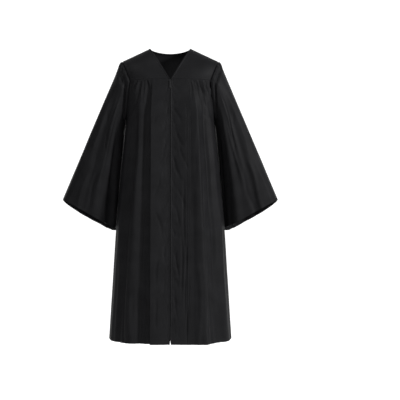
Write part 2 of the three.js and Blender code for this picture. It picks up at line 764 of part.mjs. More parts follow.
// The slider's body with two posts and the pin between them.
function addSlider() {
  const hinge = hingePoint();
  const face = hinge.y + BAIL.standOff;
  const body = roundedPlate(SLIDER.wide, SLIDER.tall, 2, SLIDER.thick);
  body.translate(0, face + SLIDER.thick / 2, SLIDER.topZ - SLIDER.tall / 2);
  let solid = toSolid(body);
  const postWide = BAIL.postOut - BAIL.postIn;
  const postLong = BAIL.standOff + BAIL.reach + 0.5;
  for (const side of [-1, 1]) {
    const post = new THREE.BoxGeometry(postWide, postLong, 2 * BAIL.reach);
    post.translate(side * (BAIL.postIn + postWide / 2), face + 0.5 - postLong / 2, hinge.z);
    solid = solid.add(toSolid(post));
  }
  const rod = pin(BAIL.pinRadius, 2 * BAIL.postIn + postWide);
  rod.translate(hinge.x, hinge.y, hinge.z);
  addPiece("zip_slider", fromSolid(solid.add(toSolid(rod))), METAL);
}

// The tab: an eye round the pin, a neck between the posts, and a plate below.
function addPullTab() {
  const hinge = hingePoint();
  const plate = roundedPlate(TAB.wide, TAB.long, 2, TAB.thick);
  plate.translate(hinge.x, hinge.y, hinge.z - TAB_SHOULDER - TAB.long / 2);
  const neck = new THREE.BoxGeometry(TAB.eyeWide, TAB.thick, TAB_SHOULDER + 1);
  neck.translate(hinge.x, hinge.y, hinge.z - (TAB_SHOULDER + 1) / 2);
  const eye = pin(TAB.eyeRadius, TAB.eyeWide);
  eye.translate(hinge.x, hinge.y, hinge.z);
  const hole = pin(TAB.holeRadius, 2 * TAB.eyeWide);
  hole.translate(hinge.x, hinge.y, hinge.z);
  const solid = toSolid(plate).add(toSolid(neck)).add(toSolid(eye)).subtract(toSolid(hole));
  addPiece("zip_pull_tab", fromSolid(solid), METAL);
}

const frontColumns = STRIP_STEPS + SIDE_STEPS + 2;
for (const [name, side] of [["left", -1], ["right", 1]]) {
  const outside = (j, columns) => j === (side < 0 ? 0 : columns - 1);
  wallMesh("front_" + name, frontGrid(side), CLOTH, false, panelTidy(frontColumns, outside));
  wallMesh("yoke_front_" + name, frontYokeGrid(side), CLOTH, false, (normal, i) => {
    if (i === 0) normal.y = 0;
    if (i === YOKE_RINGS) normal.z = 0;
  });
  wallMesh("sleeve_" + name, sleeveGrid(side), CLOTH, true, sleeveTidy(side));
  wallMesh("zip_tape_" + name, tapeGrid(side), TAPE_LOOK, false, null, WALL + SEAM, TAPE.thick);
}
const bothSides = (j, columns) => j === 0 || j === columns - 1;
wallMesh("back", backGrid(), CLOTH, false, panelTidy(BACK_STEPS + 1, bothSides));
wallMesh("yoke_back", backYokeGrid(), CLOTH, false, (normal, i, j) => {
  const onShoulder = Math.abs(1 - (2 * j) / BACK_YOKE_STEPS) > 0.42;
  if (i === 0 && onShoulder) normal.y = 0;
  if (i === YOKE_RINGS) normal.z = 0;
});
addSlider();
addPullTab();

export default gown;
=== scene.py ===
"""The looks of a graduation gown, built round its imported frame. Metres, +Z up, front to -Y."""
import math

import bpy
import numpy as np
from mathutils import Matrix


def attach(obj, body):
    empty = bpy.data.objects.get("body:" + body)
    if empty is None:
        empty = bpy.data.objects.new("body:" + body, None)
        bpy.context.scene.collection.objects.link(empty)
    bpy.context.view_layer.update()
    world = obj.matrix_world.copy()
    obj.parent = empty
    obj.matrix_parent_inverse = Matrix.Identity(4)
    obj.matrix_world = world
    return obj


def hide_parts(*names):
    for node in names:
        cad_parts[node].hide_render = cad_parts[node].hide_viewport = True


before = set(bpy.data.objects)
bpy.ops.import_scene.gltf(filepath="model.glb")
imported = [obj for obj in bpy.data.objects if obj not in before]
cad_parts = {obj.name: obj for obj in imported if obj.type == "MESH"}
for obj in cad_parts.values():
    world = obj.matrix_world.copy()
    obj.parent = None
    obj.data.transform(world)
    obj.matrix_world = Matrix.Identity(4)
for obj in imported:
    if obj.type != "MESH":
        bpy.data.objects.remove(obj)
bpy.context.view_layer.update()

# Sizes of the gown are in millimetres, those of the camera, lights, stage and looks in metres.
MM = 0.001
BODY = "gown"
CLOTH_THICK = 0.7
HEM_THICK = 2.0
SEAM_TUCK = 2.4
SEAM_TURN = 4.0
# The zip's edge is thicker over its first columns, and the pleat's layers are thinner.
EDGE_COLUMNS, EDGE_THICK, TURN_THICK = 6, 1.1, 0.6

HEM_Z = -1250.0
# How far the hem hangs lower in front, the depths where that grows, and the angles where it ends.
HEM_SAG, HEM_SAG_GROWS, HEM_SAG_TURN = 4.0, (1000, 1250), (1.05, 1.5)
NECK_HALF = 88.0
NAPE_Y, NAPE_Z = 75.0, -10.0
SHOULDER_X, SHOULDER_Z = 207.0, -56.0
SEAM_CENTRE_Z, CORNER_X, CORNER_Z = -142.0, 171.0, -148.0
UNDERARM_Z = -308.0
ARMHOLE_CURVE = 1.3
STRIP_TOP_X, STRIP_HEM_X = 75.0, 80.0
# Folds and creases fade out over this way to a panel's side, taken at this radius.
QUIET_EDGE, QUIET_RADIUS = 26.0, 200
NECK_PART = 0.42

# Half of the gap between the fronts, by height. They meet below the zip.
FRONT_GAP = [
    (-142, 4.1), (-166, 4.1), (-190, 1.3), (-1178, 1.3), (-1190, -0.2), (-1230, -0.2), (-1250, 2.2),
]

# The body's outline: height, half width, depth to the front and the back, squareness.
SECTIONS = np.array([
    (-130, 198, 111, 104, 3.2),
    (-308, 191, 122, 113, 3.0),
    (-510, 210, 134, 127, 2.7),
    (-755, 233, 150, 144, 2.5),
    (-1000, 249, 170, 164, 2.35),
    (-1250, 265, 190, 184, 2.3),
], float)
HALF_WIDTH, FRONT, BACK, SQUARE = 1, 2, 3, 4

# Long folds: angle at the yoke and at the hem, half width, height where each begins and
# where it is full, and depth.
FOLDS_LEFT = [
    (48, 52, 17, -150, -420, 7), (56, 62, 15, -215, -380, -6.5), (67, 72, 17, -170, -520, 4.5),
]
FOLDS_RIGHT = [
    (38, 39, 18, -150, -430, 7), (53, 60, 14, -190, -330, -5.5), (64, 70, 17, -170, -480, 5),
]
FOLDS_BACK = [
    (-166, -168, 17, -150, -430, 7), (-153, -154, 15, -160, -460, -6),
    (-139, -137, 18, -150, -400, 6.5), (-123, -120, 16, -200, -520, -5),
    (176, 174, 15, -190, -520, -5.5), (161, 160, 18, -150, -420, 7),
    (147, 148, 14, -170, -450, -6), (134, 131, 17, -150, -410, 6), (118, 116, 17, -210, -560, -5),
]

# Gathers under the yoke seams: angle, half width, length, depth.
GATHERS = [
    (-61, 7, 45, -2.6), (-56, 7, 55, 2.2), (-51.5, 7, 60, -2.8), (-42.5, 7, 42, -2.2),
    (46, 7, 46, -2.2), (52, 8, 62, -2.8), (57.5, 6, 52, 2.4), (62, 6, 42, -2.8),
    (-118, 7, 48, -2.6), (-126, 8, 60, 2.4), (-133, 7, 52, -2.6), (-145, 8, 64, -2.4),
    (-160, 8, 50, -2.4), (119, 7, 44, -2.6), (127, 8, 58, 2.2), (135, 7, 55, -2.8),
    (153, 8, 62, -2.4), (168, 8, 48, -2.2),
]

# Pressed pleats beside the strips: drop at the yoke and at the hem, way to the bottom at
# both, part of the drop that is straight behind the edge, and way up again.
PLEAT_LEFT = (8, 15, 17, 52, 0.45, 30)
PLEAT_RIGHT = (1.2, 3, 6, 10, 1.0, 10)
# Depths below the shoulder where the pleats grow to their full size, and how flat the right one is.
PLEAT_GROWS, PRESS_RIGHT = (146, 190), 0.45
# The side of a front begins this far behind the strip's edge.
SIDE_BEHIND = 3

# Profile of a pressed pleat behind the strip's edge: how far on along the cloth, how far out.
PLEAT_TURN = [
    (0.7, -0.25), (1.0, -0.9), (0.6, -1.5), (-0.6, -1.8), (-5, -2.0), (-9, -2.2), (-10, -2.8),
    (-9, -3.4), (-5, -3.6), (-1, -3.8), (1.2, -4.1),
]
# How much of the lean, and of the creases, the pleat's own layers keep.
TURN_KEEPS = [1, 1, 1, 1, 0.97, 0.94, 0.9, 0.8, 0.6, 0.35, 0.1]
TURN_DETAIL = 0.3

# How far the left strip's outer edge and the right front's ridge stand forward of the zip, where
# that rise begins, how it curves, the depths where it grows, and how far before and behind the
# ridge it falls off.
LEAN_LEFT, LEAN_RIGHT = 11.0, 24.0
LEAN_START_X, LEAN_CURVE, LEAN_GROWS = 9, 1.35, (152, 300)
RIDGE_TOP_X, RIDGE_HEM_X = 92.0, 136.0
RIDGE_NEAR, RIDGE_FAR = 8, 52

# How much deeper the creases are made than their tables say.
CREASE_GAIN, UNDER_YOKE_GAIN = 1.9, 1.25

# Creases of the fronts: from x, z to x, z, half width, depth, all in millimetres.
CREASES_FRONT = [
    (-14, -330, -40, -372, 7, -1.2), (-9, -400, -33, -441, 8, -1.3), (-48, -286, -66, -330, 8, -1.0),
    (-20, -455, -52, -500, 9, -1.4), (-12, -520, -30, -560, 7, -1.1), (-44, -560, -62, -640, 9, -1.2),
    (-12, -640, -38, -700, 9, -1.2), (-58, -700, -34, -800, 10, -1.2), (-16, -820, -30, -905, 9, -1.3),
    (-48, -880, -60, -1010, 10, -1.3), (-20, -980, -40, -1080, 9, -1.1), (-62, -1060, -54, -1190, 10, -1.2),
    (10, -250, 44, -330, 8, -1.2), (14, -352, 58, -440, 9, -1.5), (34, -420, 66, -520, 8, -1.2),
    (8, -470, 46, -575, 9, -1.4), (30, -600, 62, -700, 9, -1.2), (12, -660, 40, -760, 8, -1.2),
    (52, -560, 60, -900, 8, -1.6), (44, -780, 50, -1060, 8, -1.7), (64, -840, 60, -1140, 7, -1.5),
    (22, -860, 34, -990, 8, -1.3), (14, -1030, 30, -1150, 8, -1.1), (70, -1090, 66, -1240, 8, -1.3),
    (-118, -620, -126, -1020, 9, 1.6), (-150, -420, -168, -760, 10, -1.8), (-102, -930, -108, -1250, 11, 2.0),
    (-186, -900, -196, -1250, 13, -2.6), (-134, -1010, -140, -1250, 11, -2.2),
    (-96, -330, -98, -560, 8, -1.3), (-160, -1040, -170, -1250, 12, 2.2), (-208, -640, -224, -1250, 13, 2.2),
    (96, -330, 99, -620, 9, -1.4), (120, -560, 132, -960, 10, -1.8), (150, -380, 170, -700, 10, -1.7),
    (106, -900, 112, -1250, 11, 2.1), (178, -760, 196, -1250, 13, -2.8), (160, -960, 172, -1250, 12, 2.3),
    (140, -1100, 144, -1250, 10, -2.0), (210, -600, 226, -1250, 13, 2.0),
    (118, -170, 126, -300, 7, 1.3), (-112, -170, -108, -260, 7, 1.2), (134, -168, 150, -262, 7, -1.6),
    (-140, -262, -146, -560, 13, -1.8),
    (-132, -176, -146, -262, 7, -1.6), (88, -160, 87, -230, 6, -1.0), (-90, -160, -91, -240, 6, -1.0),
    (158, -240, 186, -330, 10, -1.8), (-156, -250, -186, -330, 10, -1.8),
]
# Gathers that fan out below the ends of the yokes' front seams.
CREASES_UNDER_YOKE = [
    (-138, -146, -155, -194, 5, -2.0), (-166, -140, -170, -196, 5, -1.8), (-125, -150, -128, -182, 4, -1.3),
    (-97, -143, -98, -196, 4, -1.2), (-133, -148, -152, -210, 6, 1.7), (-118, -146, -121, -235, 6, 1.2),
    (-148, -146, -161, -205, 5, 1.3), (-106, -146, -107, -205, 5, 0.9), (-89, -146, -88, -215, 4, 0.8),
    (123, -146, 142, -212, 6, -2.0), (146, -148, 160, -196, 5, -1.8), (169, -146, 172, -190, 5, -2.0),
    (134, -147, 152, -214, 6, 1.7), (158, -148, 170, -222, 6, 1.4), (112, -146, 121, -200, 5, 1.1),
    (103, -146, 104, -186, 4, -1.1), (92, -146, 94, -205, 4, 0.8), (176, -190, 180, -225, 6, -1.4),
]
# Creases of the back, where x is still to the viewer's right of the front.
CREASES_BACK = [
    (-20, -240, -24, -620, 10, 1.6), (14, -330, 22, -820, 11, -1.8), (-60, -520, -70, -1050, 11, 1.8),
    (52, -300, 58, -700, 10, 1.5), (96, -430, 112, -930, 11, -1.8), (-104, -360, -122, -880, 11, -1.8),
    (-6, -760, -4, -1250, 12, 2.2), (40, -880, 44, -1250, 12, -2.4), (-42, -900, -48, -1250, 11, -2.2),
    (84, -980, 92, -1250, 12, 2.2), (-90, -960, -98, -1250, 12, 2.4), (134, -780, 150, -1250, 13, -2.6),
    (-140, -820, -158, -1250, 13, -2.6), (176, -640, 196, -1250, 13, 2.2), (-180, -600, -200, -1250, 13, 2.2),
    (30, -200, 60, -270, 9, -1.2), (-34, -210, -62, -290, 9, -1.2), (120, -250, 168, -330, 11, -1.9),
    (-122, -240, -168, -330, 11, -1.9), (70, -1120, 66, -1250, 9, -1.6), (-66, -1130, -70, -1250, 9, -1.6),
]
# Puckers beside the zip: how many, height of the first, and step down to the next.
PUCKER_COUNT, PUCKER_TOP, PUCKER_STEP = 42, -172.0, 25.0
# Depths where the unevenness of the panels grows.
UNEVEN_GROWS = (150, 190)

# Stitches: pitch, length, width and height over the cloth.
STITCH_PITCH, STITCH_LONG, STITCH_WIDE, STITCH_HIGH = 3.6, 2.7, 0.5, 0.22
YOKE_LINE, NECK_LINE = 9.0, 8.0

# Teeth of the zip: pitch, reach past the middle, half depth, height, and where they stand.
TOOTH_PITCH, TOOTH_OVER, TOOTH_OUT = 2.2, 0.35, 1.15
TOOTH_DEPTH, TOOTH_HIGH, TOOTH_BACK = 0.6, 0.75, 1.45
TEETH_TOP, TEETH_END = -164.0, -1188.0

# Lines where a stitch pulls the cloth in, beside the zip and the strips' edges: distance in.
FLY_LINE = 6.0
STRIP_LINES, STRIP_LINE_GAIN = (5.5, 13.0), 2.6
STRIP_LINES_TOP, STRIP_LINES_FULL = 245, 275
HEM_LINE = 17.0
CUFF_LINE = 12.0
# Raised edges: the right front's at the zip, where it ends, and those of yokes and neck.
FLY_LIP, FLY_LIP_END = 1.2, (2.0, 4.5)
LIP_HIGH = 0.8

# The right cuff and the way the sleeve goes there.
CUFF_OUTER, CUFF_INNER = np.array((469.0, 30, -655)), np.array((230.0, 62, -772))
CUFF_DEPTH, CUFF_TILT, CUFF_SAG, CUFF_SKEW, CUFF_SQUARE = 95.0, 15.0, 17.0, 0.55, 2.6
LEAVE_TOP, LEAVE_FRONT, LEAVE_UNDER = (14, 0.6), (45, 0.15), (34, 0.7)
LEAVE_TO_BACK = 0.9
SLEEVE_CLEARANCE, SLEEVE_CLEAR_BY = 2.5, 60.0
NEAR_BODY = 330
HUG_REACH = 60.0
SLEEVE_COLUMNS = 132
SLEEVE_ROUND_TOP, SLEEVE_ROUND_CUFF = 560, 740
PUFF, PUFF_AT = 4.0, 20.0
# Hollow beside the armhole's seam: way from the seam, half width, depth.
GROOVE_LEFT, GROOVE_RIGHT = (29.0, 22.0, 12.0), (26.0, 13.0, 9.0)

# Folds of the sleeves: place at the armhole and at the cuff, half width, depth.
SLEEVE_FOLDS_LEFT = [
    (0.225, 0.28, 30, 9), (0.335, 0.37, 30, -11), (0.16, 0.21, 24, -6), (0.08, 0.11, 28, 4),
    (0.62, 0.61, 26, -8), (0.73, 0.71, 30, 8), (0.84, 0.81, 26, -6),
]
SLEEVE_FOLDS_RIGHT = [
    (0.305, 0.325, 30, 8.5), (0.415, 0.415, 20, -7), (0.17, 0.22, 25, -6), (0.09, 0.12, 28, 4),
    (0.64, 0.62, 26, -8), (0.74, 0.73, 30, 8), (0.86, 0.83, 26, -6),
]
# Gathers of the sleeve cap: place, half width, length down the sleeve, depth.
CAP_GATHERS = [
    (0.012, 6, 40, 1.8), (0.03, 5, 34, -1.7), (0.05, 6, 46, 1.9), (0.072, 5.5, 60, -2.2),
    (0.094, 6, 44, 1.8), (0.117, 6, 70, -2.6), (0.14, 6, 52, 2.0), (0.165, 6.5, 80, -2.4),
    (0.19, 7, 60, 1.8), (0.985, 6, 38, -1.7), (0.962, 6, 44, 1.8), (0.938, 6, 56, -2.2),
    (0.915, 6, 44, 1.7), (0.89, 6.5, 66, -2.4), (0.864, 6.5, 50, 1.8), (0.835, 7, 70, -2.2),
]
CAP_GAIN = 1.3
LEFT_CREASE_SHIFT = 0.985
# Creases of the sleeves: place and part of the way down at each end, half width, depth.
SLEEVE_CREASES = [
    (0.20, 0.12, 0.25, 0.55, 10, -1.8), (0.27, 0.20, 0.26, 0.85, 11, 1.8), (0.13, 0.18, 0.16, 0.62, 10, 1.6),
    (0.05, 0.22, 0.06, 0.80, 11, -1.6), (0.34, 0.45, 0.36, 1.00, 11, -1.2), (0.18, 0.60, 0.19, 1.00, 12, 2.0),
    (0.24, 0.66, 0.235, 1.0, 11, -1.9), (0.11, 0.55, 0.115, 1.0, 12, -1.8), (0.42, 0.20, 0.44, 0.90, 10, 1.6),
    (0.47, 0.12, 0.47, 0.60, 9, -1.4), (0.55, 0.30, 0.54, 1.00, 11, 1.8), (0.66, 0.15, 0.65, 0.70, 11, 1.7),
    (0.69, 0.55, 0.67, 1.00, 11, -1.9), (0.78, 0.20, 0.77, 0.95, 11, -1.9), (0.80, 0.60, 0.79, 1.00, 12, 1.9),
    (0.88, 0.25, 0.87, 0.85, 11, 1.7), (0.93, 0.40, 0.92, 1.00, 12, -1.8), (0.985, 0.30, 0.98, 0.90, 12, 1.5),
    (0.15, 0.30, 0.21, 0.38, 9, -1.3), (0.22, 0.46, 0.29, 0.52, 9, -1.2), (0.08, 0.42, 0.13, 0.47, 9, -1.1),
]

PHOTO_SIZE = 400
CAMERA = (0.0, -4.0, -0.655)
FOCAL_PIXELS = 921.7
AXIS_PIXEL = 170.3
FLOOR_Z = -1.42
# The stage along y: where its floor begins and bends up, the bend's radius, top and half width.
STAGE_NEAR, STAGE_BEND, STAGE_RADIUS, STAGE_TOP, STAGE_HALF = -9.0, 5.0, 3.0, 12.0, 14
BEND_STEPS = 12
# Lights: name, place, aim, size, watts.
LIGHTS = [
    ("key", (3.25, -2.1, 1.0), (0, 0, -0.6), 0.5, 228),
    ("top", (-1.9, -1.7, 2.6), (0, 0, -0.4), 0.9, 78),
    ("fill", (0.1, -4.1, -0.2), (0, 0, -0.35), 0.6, 49),
]
SKY_COLOUR, SKY_STRENGTH = (0.97, 0.985, 1, 1), 0.12

# Looks: darkest and lightest colour, and range of roughness.
CLOTH_COLOURS = (0.0056, 0.0056, 0.0061), (0.0083, 0.0083, 0.0090)
TAPE_COLOURS = (0.005, 0.005, 0.0055), (0.008, 0.008, 0.0085)
THREAD_COLOURS = (0.010, 0.010, 0.011), (0.016, 0.016, 0.017)
METAL_COLOURS = (0.004, 0.004, 0.0044), (0.014, 0.014, 0.015)
STAGE_COLOURS = (0.42,) * 3, (0.46,) * 3
CLOTH_ROUGHNESS, METAL_ROUGHNESS = (0.52, 0.64), (0.38, 0.55)
CLOTH_SPECULAR, TAPE_SHEEN = 0.045, 0.05
# The stage's glow behind the gown: from and to along y, and its strength at each.
GLOW_FROM_Y, GLOW_TO_Y, GLOW_LEAST, GLOW_MOST = -1.2, -0.2, 0.06, 0.9
METAL_BEVEL = 0.0002


def ramp(value, start, end):
    t = np.clip((value - start) / (end - start), 0, 1)
    return t * t * (3 - 2 * t)


def hump(distance, half):
    t = np.clip(np.abs(distance) / half, 0, 1)
    return 0.5 + 0.5 * np.cos(np.pi * t)


def mix(a, b, t):
    return a + (b - a) * t


def read_section(z, column):
    """One column of SECTIONS at heights z, on a smooth curve through the rows."""
    z = np.asarray(z, float)
    heights, values = SECTIONS[:, 0], SECTIONS[:, column]
    last = len(heights) - 1
    i = np.clip(np.searchsorted(-heights, -z, side="right") - 1, 0, last - 1)
    step = heights[i + 1] - heights[i]
    t = np.clip((z - heights[i]) / step, 0, 1)

    def slope(a, b):
        return (values[b] - values[a]) / (heights[b] - heights[a])

    before = slope(np.maximum(i - 1, 0), np.minimum(i + 1, last))
    after = slope(i, np.minimum(i + 2, last))
    t2, t3 = t * t, t * t * t
    start = (2 * t3 - 3 * t2 + 1) * values[i] + (t3 - 2 * t2 + t) * step * before
    return start + (3 * t2 - 2 * t3) * values[i + 1] + (t3 - t2) * step * after


def body_radius(z, angle):
    """Distance of the smooth body from its axis, at an angle from the centre front."""
    power = read_section(z, SQUARE)
    depth = np.where(np.cos(angle) > 0, read_section(z, FRONT), read_section(z, BACK))
    across = np.abs(np.sin(angle)) / read_section(z, HALF_WIDTH)
    along = np.abs(np.cos(angle)) / depth
    return (across ** power + along ** power) ** (-1 / power)


def body_point(z, angle, out):
    r = body_radius(z, angle) + out
    return np.stack(np.broadcast_arrays(r * np.sin(angle), -r * np.cos(angle), z), axis=-1)


def angle_at_x(z, x, back=False):
    """The angle at which the front or the back stands at a distance x from the middle."""
    z, x = np.broadcast_arrays(np.asarray(z, float), np.asarray(x, float))
    low, high = np.zeros(z.shape), np.full(z.shape, np.pi / 2)
    for _ in range(34):
        middle = (low + high) / 2
        angle = np.pi - middle if back else middle
        inside = body_radius(z, angle) * np.sin(middle) < x
        low, high = np.where(inside, middle, low), np.where(inside, high, middle)
    return np.pi - low if back else low


def side_angle(z, back=False):
    """The angle where a panel ends: at the armhole, or at the side seam below it."""
    z = np.asarray(z, float)
    reach = read_section(UNDERARM_Z, HALF_WIDTH) - CORNER_X
    t = np.maximum((CORNER_Z - z) / (CORNER_Z - UNDERARM_Z), 0)
    armhole = angle_at_x(z, CORNER_X + reach * t ** ARMHOLE_CURVE, back)
    seam = 0.15 / read_section(z, HALF_WIDTH)
    low = np.pi / 2 + (seam if back else -seam)
    return np.where(z <= UNDERARM_Z, low, armhole)


def down_part(z):
    return (CORNER_Z - z) / (CORNER_Z - HEM_Z)


def folds_out(folds, z, angle):
    out = np.zeros(np.broadcast(z, angle).shape)
    down = down_part(z)
    for top, hem, half, begin, full, depth in folds:
        off = angle - np.radians(mix(top, hem, down))
        off = np.arctan2(np.sin(off), np.cos(off))
        grown = half * (1 + 0.6 * down)
        out += depth * ramp(-z, -begin, -full) * hump(off * body_radius(z, angle), grown)
    return out


def gathers_out(z, angle):
    out = np.zeros(np.broadcast(z, angle).shape)
    below = CORNER_Z - z
    for at, half, length, depth in GATHERS:
        off = (angle - math.radians(at)) * body_radius(z, angle)
        fade = ramp(below, 1, 16) * (1 - ramp(below, length * 0.4, length))
        out += depth * fade * hump(off, half)
    return out


def creases_out(creases, across, down):
    """Soft troughs and ridges along straight lines in a plane, tapered to their ends."""
    out = np.zeros(np.broadcast(across, down).shape)
    for x0, z0, x1, z1, half, depth in creases:
        length = math.hypot(x1 - x0, z1 - z0)
        ux, uz = (x1 - x0) / length, (z1 - z0) / length
        along = (across - x0) * ux + (down - z0) * uz
        off = (across - x0) * uz - (down - z0) * ux
        bend = 0.35 * half * np.sin(along / length * 5 + x0)
        ends = np.minimum(along, length - along) if z1 > HEM_Z + 1 else along
        out += CREASE_GAIN * depth * ramp(ends, -0.1 * length, 0.3 * length) * hump(off + bend, half)
    return out


def zip_puckers(side):
    """Short puckers that the zip's stitching draws in a strip, all down its length."""
    rows = []
    for k in range(PUCKER_COUNT):
        wave = math.sin(2.3 * k + side)
        z = PUCKER_TOP - PUCKER_STEP * k + 6 * wave
        reach = 26 + 14 * math.sin(1.7 * k + 2 * side)
        fall = 20 + 9 * math.cos(3.1 * k)
        rows.append((side * 8, z, side * (8 + reach), z - fall, 5, -1.15 - 0.35 * wave))
    return rows


def puckers_out(across, down, seed, height):
    """Shallow unevenness of the whole cloth: a few slow waves that cross each other."""
    waves = [(0.031, 0.011, 0.0), (-0.019, 0.016, 1.3), (0.052, -0.021, 2.1), (0.013, 0.034, 4.0)]
    out = np.zeros(np.broadcast(across, down).shape)
    for kx, kz, phase in waves:
        out += np.sin(across * kx * 2 + down * kz + phase + seed)
    return height * out / len(waves)


def pleat_out(pleat, z, distance):
    """The valley behind a strip's edge: falls away from the edge, then rises again."""
    drop_top, drop_hem, way_top, way_hem, start, back = pleat
    down = down_part(z)
    drop = mix(drop_top, drop_hem, np.sqrt(np.maximum(down, 0))) * ramp(-z, *PLEAT_GROWS)
    bottom = mix(way_top, way_hem, down)
    left_to_go = 1 - np.clip(distance / bottom, 0, 1)
    falling = mix(1, start, left_to_go ** 3)
    return -drop * falling * (1 - ramp(distance, 0.9 * bottom, bottom + back))


def front_out(z, angle, side, behind, end):
    """How far the cloth beside a front strip stands out of the smooth body."""
    folds, pleat = (FOLDS_LEFT, PLEAT_LEFT) if side < 0 else (FOLDS_RIGHT, PLEAT_RIGHT)
    radius = body_radius(z, angle)
    quiet = ramp((end - angle) * radius, 0, QUIET_EDGE)
    folded = folds_out(folds, z, angle) + gathers_out(z, side * angle)
    return folded * quiet + pleat_out(pleat, z, (angle - behind) * radius)


def back_out(z, angle, end):
    quiet = ramp((np.abs(angle) - end) * body_radius(z, angle), 0, QUIET_EDGE)
    return (folds_out(FOLDS_BACK, z, angle) + gathers_out(z, angle)) * quiet


def strip_x(z):
    return mix(STRIP_TOP_X, STRIP_HEM_X, down_part(z))


def cloth_out(z, angle, side):
    """How far the cloth stands out beside a sleeve. angle is as if on the right side."""
    height = np.minimum(z, CORNER_Z)
    behind = angle_at_x(height, strip_x(height) + 3)
    front = front_out(z, angle, side, behind, side_angle(height))
    back = back_out(z, side * angle, side_angle(height, True))
    return np.where(angle > np.pi / 2, back, np.where(angle > behind, front, 0))


def grid_normals(grid, closed_round):
    """Normals of a grid whose rows run down and columns to the right, seen from outside."""
    down = np.gradient(grid, axis=0)
    if closed_round:
        across = np.roll(grid, -1, axis=1) - np.roll(grid, 1, axis=1)
    else:
        across = np.gradient(grid, axis=1)
    normal = np.cross(down, across)
    return normal / np.maximum(np.linalg.norm(normal, axis=-1, keepdims=True), 1e-9)


def grid_faces(rows, columns, closed_round):
    index = np.arange(rows * columns).reshape(rows, columns)
    right = np.roll(index, -1, axis=1) if closed_round else index[:, 1:]
    left = index if closed_round else index[:, :-1]
    quads = np.stack([left[:-1], left[1:], right[1:], right[:-1]], axis=-1)
    return quads.reshape(-1, 4)


def make_mesh(name, points, faces, material, smooth=True):
    mesh = bpy.data.meshes.new(name)
    mesh.from_pydata((np.asarray(points) * MM).tolist(), [], np.asarray(faces).tolist())
    mesh.materials.append(material)
    mesh.polygons.foreach_set("use_smooth", [smooth] * len(mesh.polygons))
    obj = bpy.data.objects.new(name, mesh)
    bpy.context.scene.collection.objects.link(obj)
    return obj


def grid_lengths(grid):
    """Distances across and down a grid, measured on the cloth, for its weave."""
    across = np.linalg.norm(np.diff(grid, axis=1), axis=-1).mean(axis=0)
    down = np.linalg.norm(np.diff(grid, axis=0), axis=-1).mean(axis=1)
    return np.concatenate([[0], np.cumsum(across)]), np.concatenate([[0], np.cumsum(down)])


def cloth_piece(name, grid, material, thick, closed_round=False):
    """A closed thin wall of cloth: the grid is its outside, and thick is how deep it is there."""
    rows, columns = grid.shape[:2]
    inner = grid - grid_normals(grid, closed_round) * np.asarray(thick)[..., None]
    outside = grid_faces(rows, columns, closed_round)
    inside = outside[:, ::-1] + rows * columns
    index = np.arange(rows * columns).reshape(rows, columns)
    rims = []
    for edge, flip in ((index[0], False), (index[-1], True)):
        a, b = edge, np.roll(edge, -1)
        if not closed_round:
            a, b = a[:-1], b[:-1]
        quad = np.stack([a, b, b + rows * columns, a + rows * columns], axis=-1)
        rims.append(quad[:, ::-1] if flip else quad)
    if not closed_round:
        for edge, flip in ((index[:, 0], True), (index[:, -1], False)):
            a, b = edge[:-1], edge[1:]
            quad = np.stack([a, b, b + rows * columns, a + rows * columns], axis=-1)
            rims.append(quad[:, ::-1] if flip else quad)
    points = np.concatenate([grid.reshape(-1, 3), inner.reshape(-1, 3)])
    obj = make_mesh(name, points, np.concatenate([outside, inside, *rims]), material)
    u, v = grid_lengths(grid)
    places = np.stack(np.meshgrid(u, v), axis=-1).reshape(-1, 2) * MM
    places = np.concatenate([places, places])
    layer = obj.data.uv_layers.new(name="cloth")
    corners = np.empty(len(obj.data.loops), dtype=np.int32)
    obj.data.loops.foreach_get("vertex_index", corners)
    layer.data.foreach_set("uv", places[corners].ravel())
    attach(obj, BODY)
    return obj


def follow(grid, measure, value):
    """The line on a grid where a measure that grows or falls down its rows has one value."""
    above = (measure[:-1] - value) * (measure[1:] - value) <= 0
    row = above.argmax(axis=0)
    column = np.nonzero(above.any(axis=0))[0]
    row = row[column]
    a, b = measure[row, column], measure[row + 1, column]
    t = ((value - a) / np.where(a == b, 1, b - a))[:, None]
    normal = grid_normals(grid, False)
    points = mix(grid[row, column], grid[row + 1, column], t)
    return points, mix(normal[row, column], normal[row + 1, column], t)


def follow_down(grid, measure, value):
    return follow(grid.transpose(1, 0, 2), measure.T, value)


def stitch_boxes(points, normals):
    """Stitches along a line: low boxes with sloping sides, one every STITCH_PITCH."""
    steps = np.linalg.norm(np.diff(points, axis=0), axis=1)
    length = np.concatenate([[0], np.cumsum(steps)])
    at = np.arange(STITCH_PITCH / 2, length[-1], STITCH_PITCH)

    def pick(values, places):
        return np.stack([np.interp(places, length, values[:, k]) for k in range(3)], axis=-1)

    middle, normal = pick(points, at), pick(normals, at)
    along = pick(points, at + 1) - pick(points, at - 1)
    along /= np.maximum(np.linalg.norm(along, axis=1, keepdims=True), 1e-9)
    normal /= np.maximum(np.linalg.norm(normal, axis=1, keepdims=True), 1e-9)
    across = np.cross(along, normal)
    corners = []
    for rise, part in ((-0.15, 1.0), (STITCH_HIGH, 0.72)):
        for a, b in ((-1, -1), (1, -1), (1, 1), (-1, 1)):
            offset = along * (a * part * STITCH_LONG / 2) + across * (b * part * STITCH_WIDE / 2)
            corners.append(middle + offset + normal * rise)
    points = np.stack(corners, axis=1).reshape(-1, 3)
    box = np.array([(3, 2, 1, 0), (4, 5, 6, 7), (0, 1, 5, 4), (1, 2, 6, 5), (2, 3, 7, 6), (3, 0, 4, 7)])
    faces = box[None] + 8 * np.arange(len(at))[:, None, None]
    return points, faces.reshape(-1, 4)


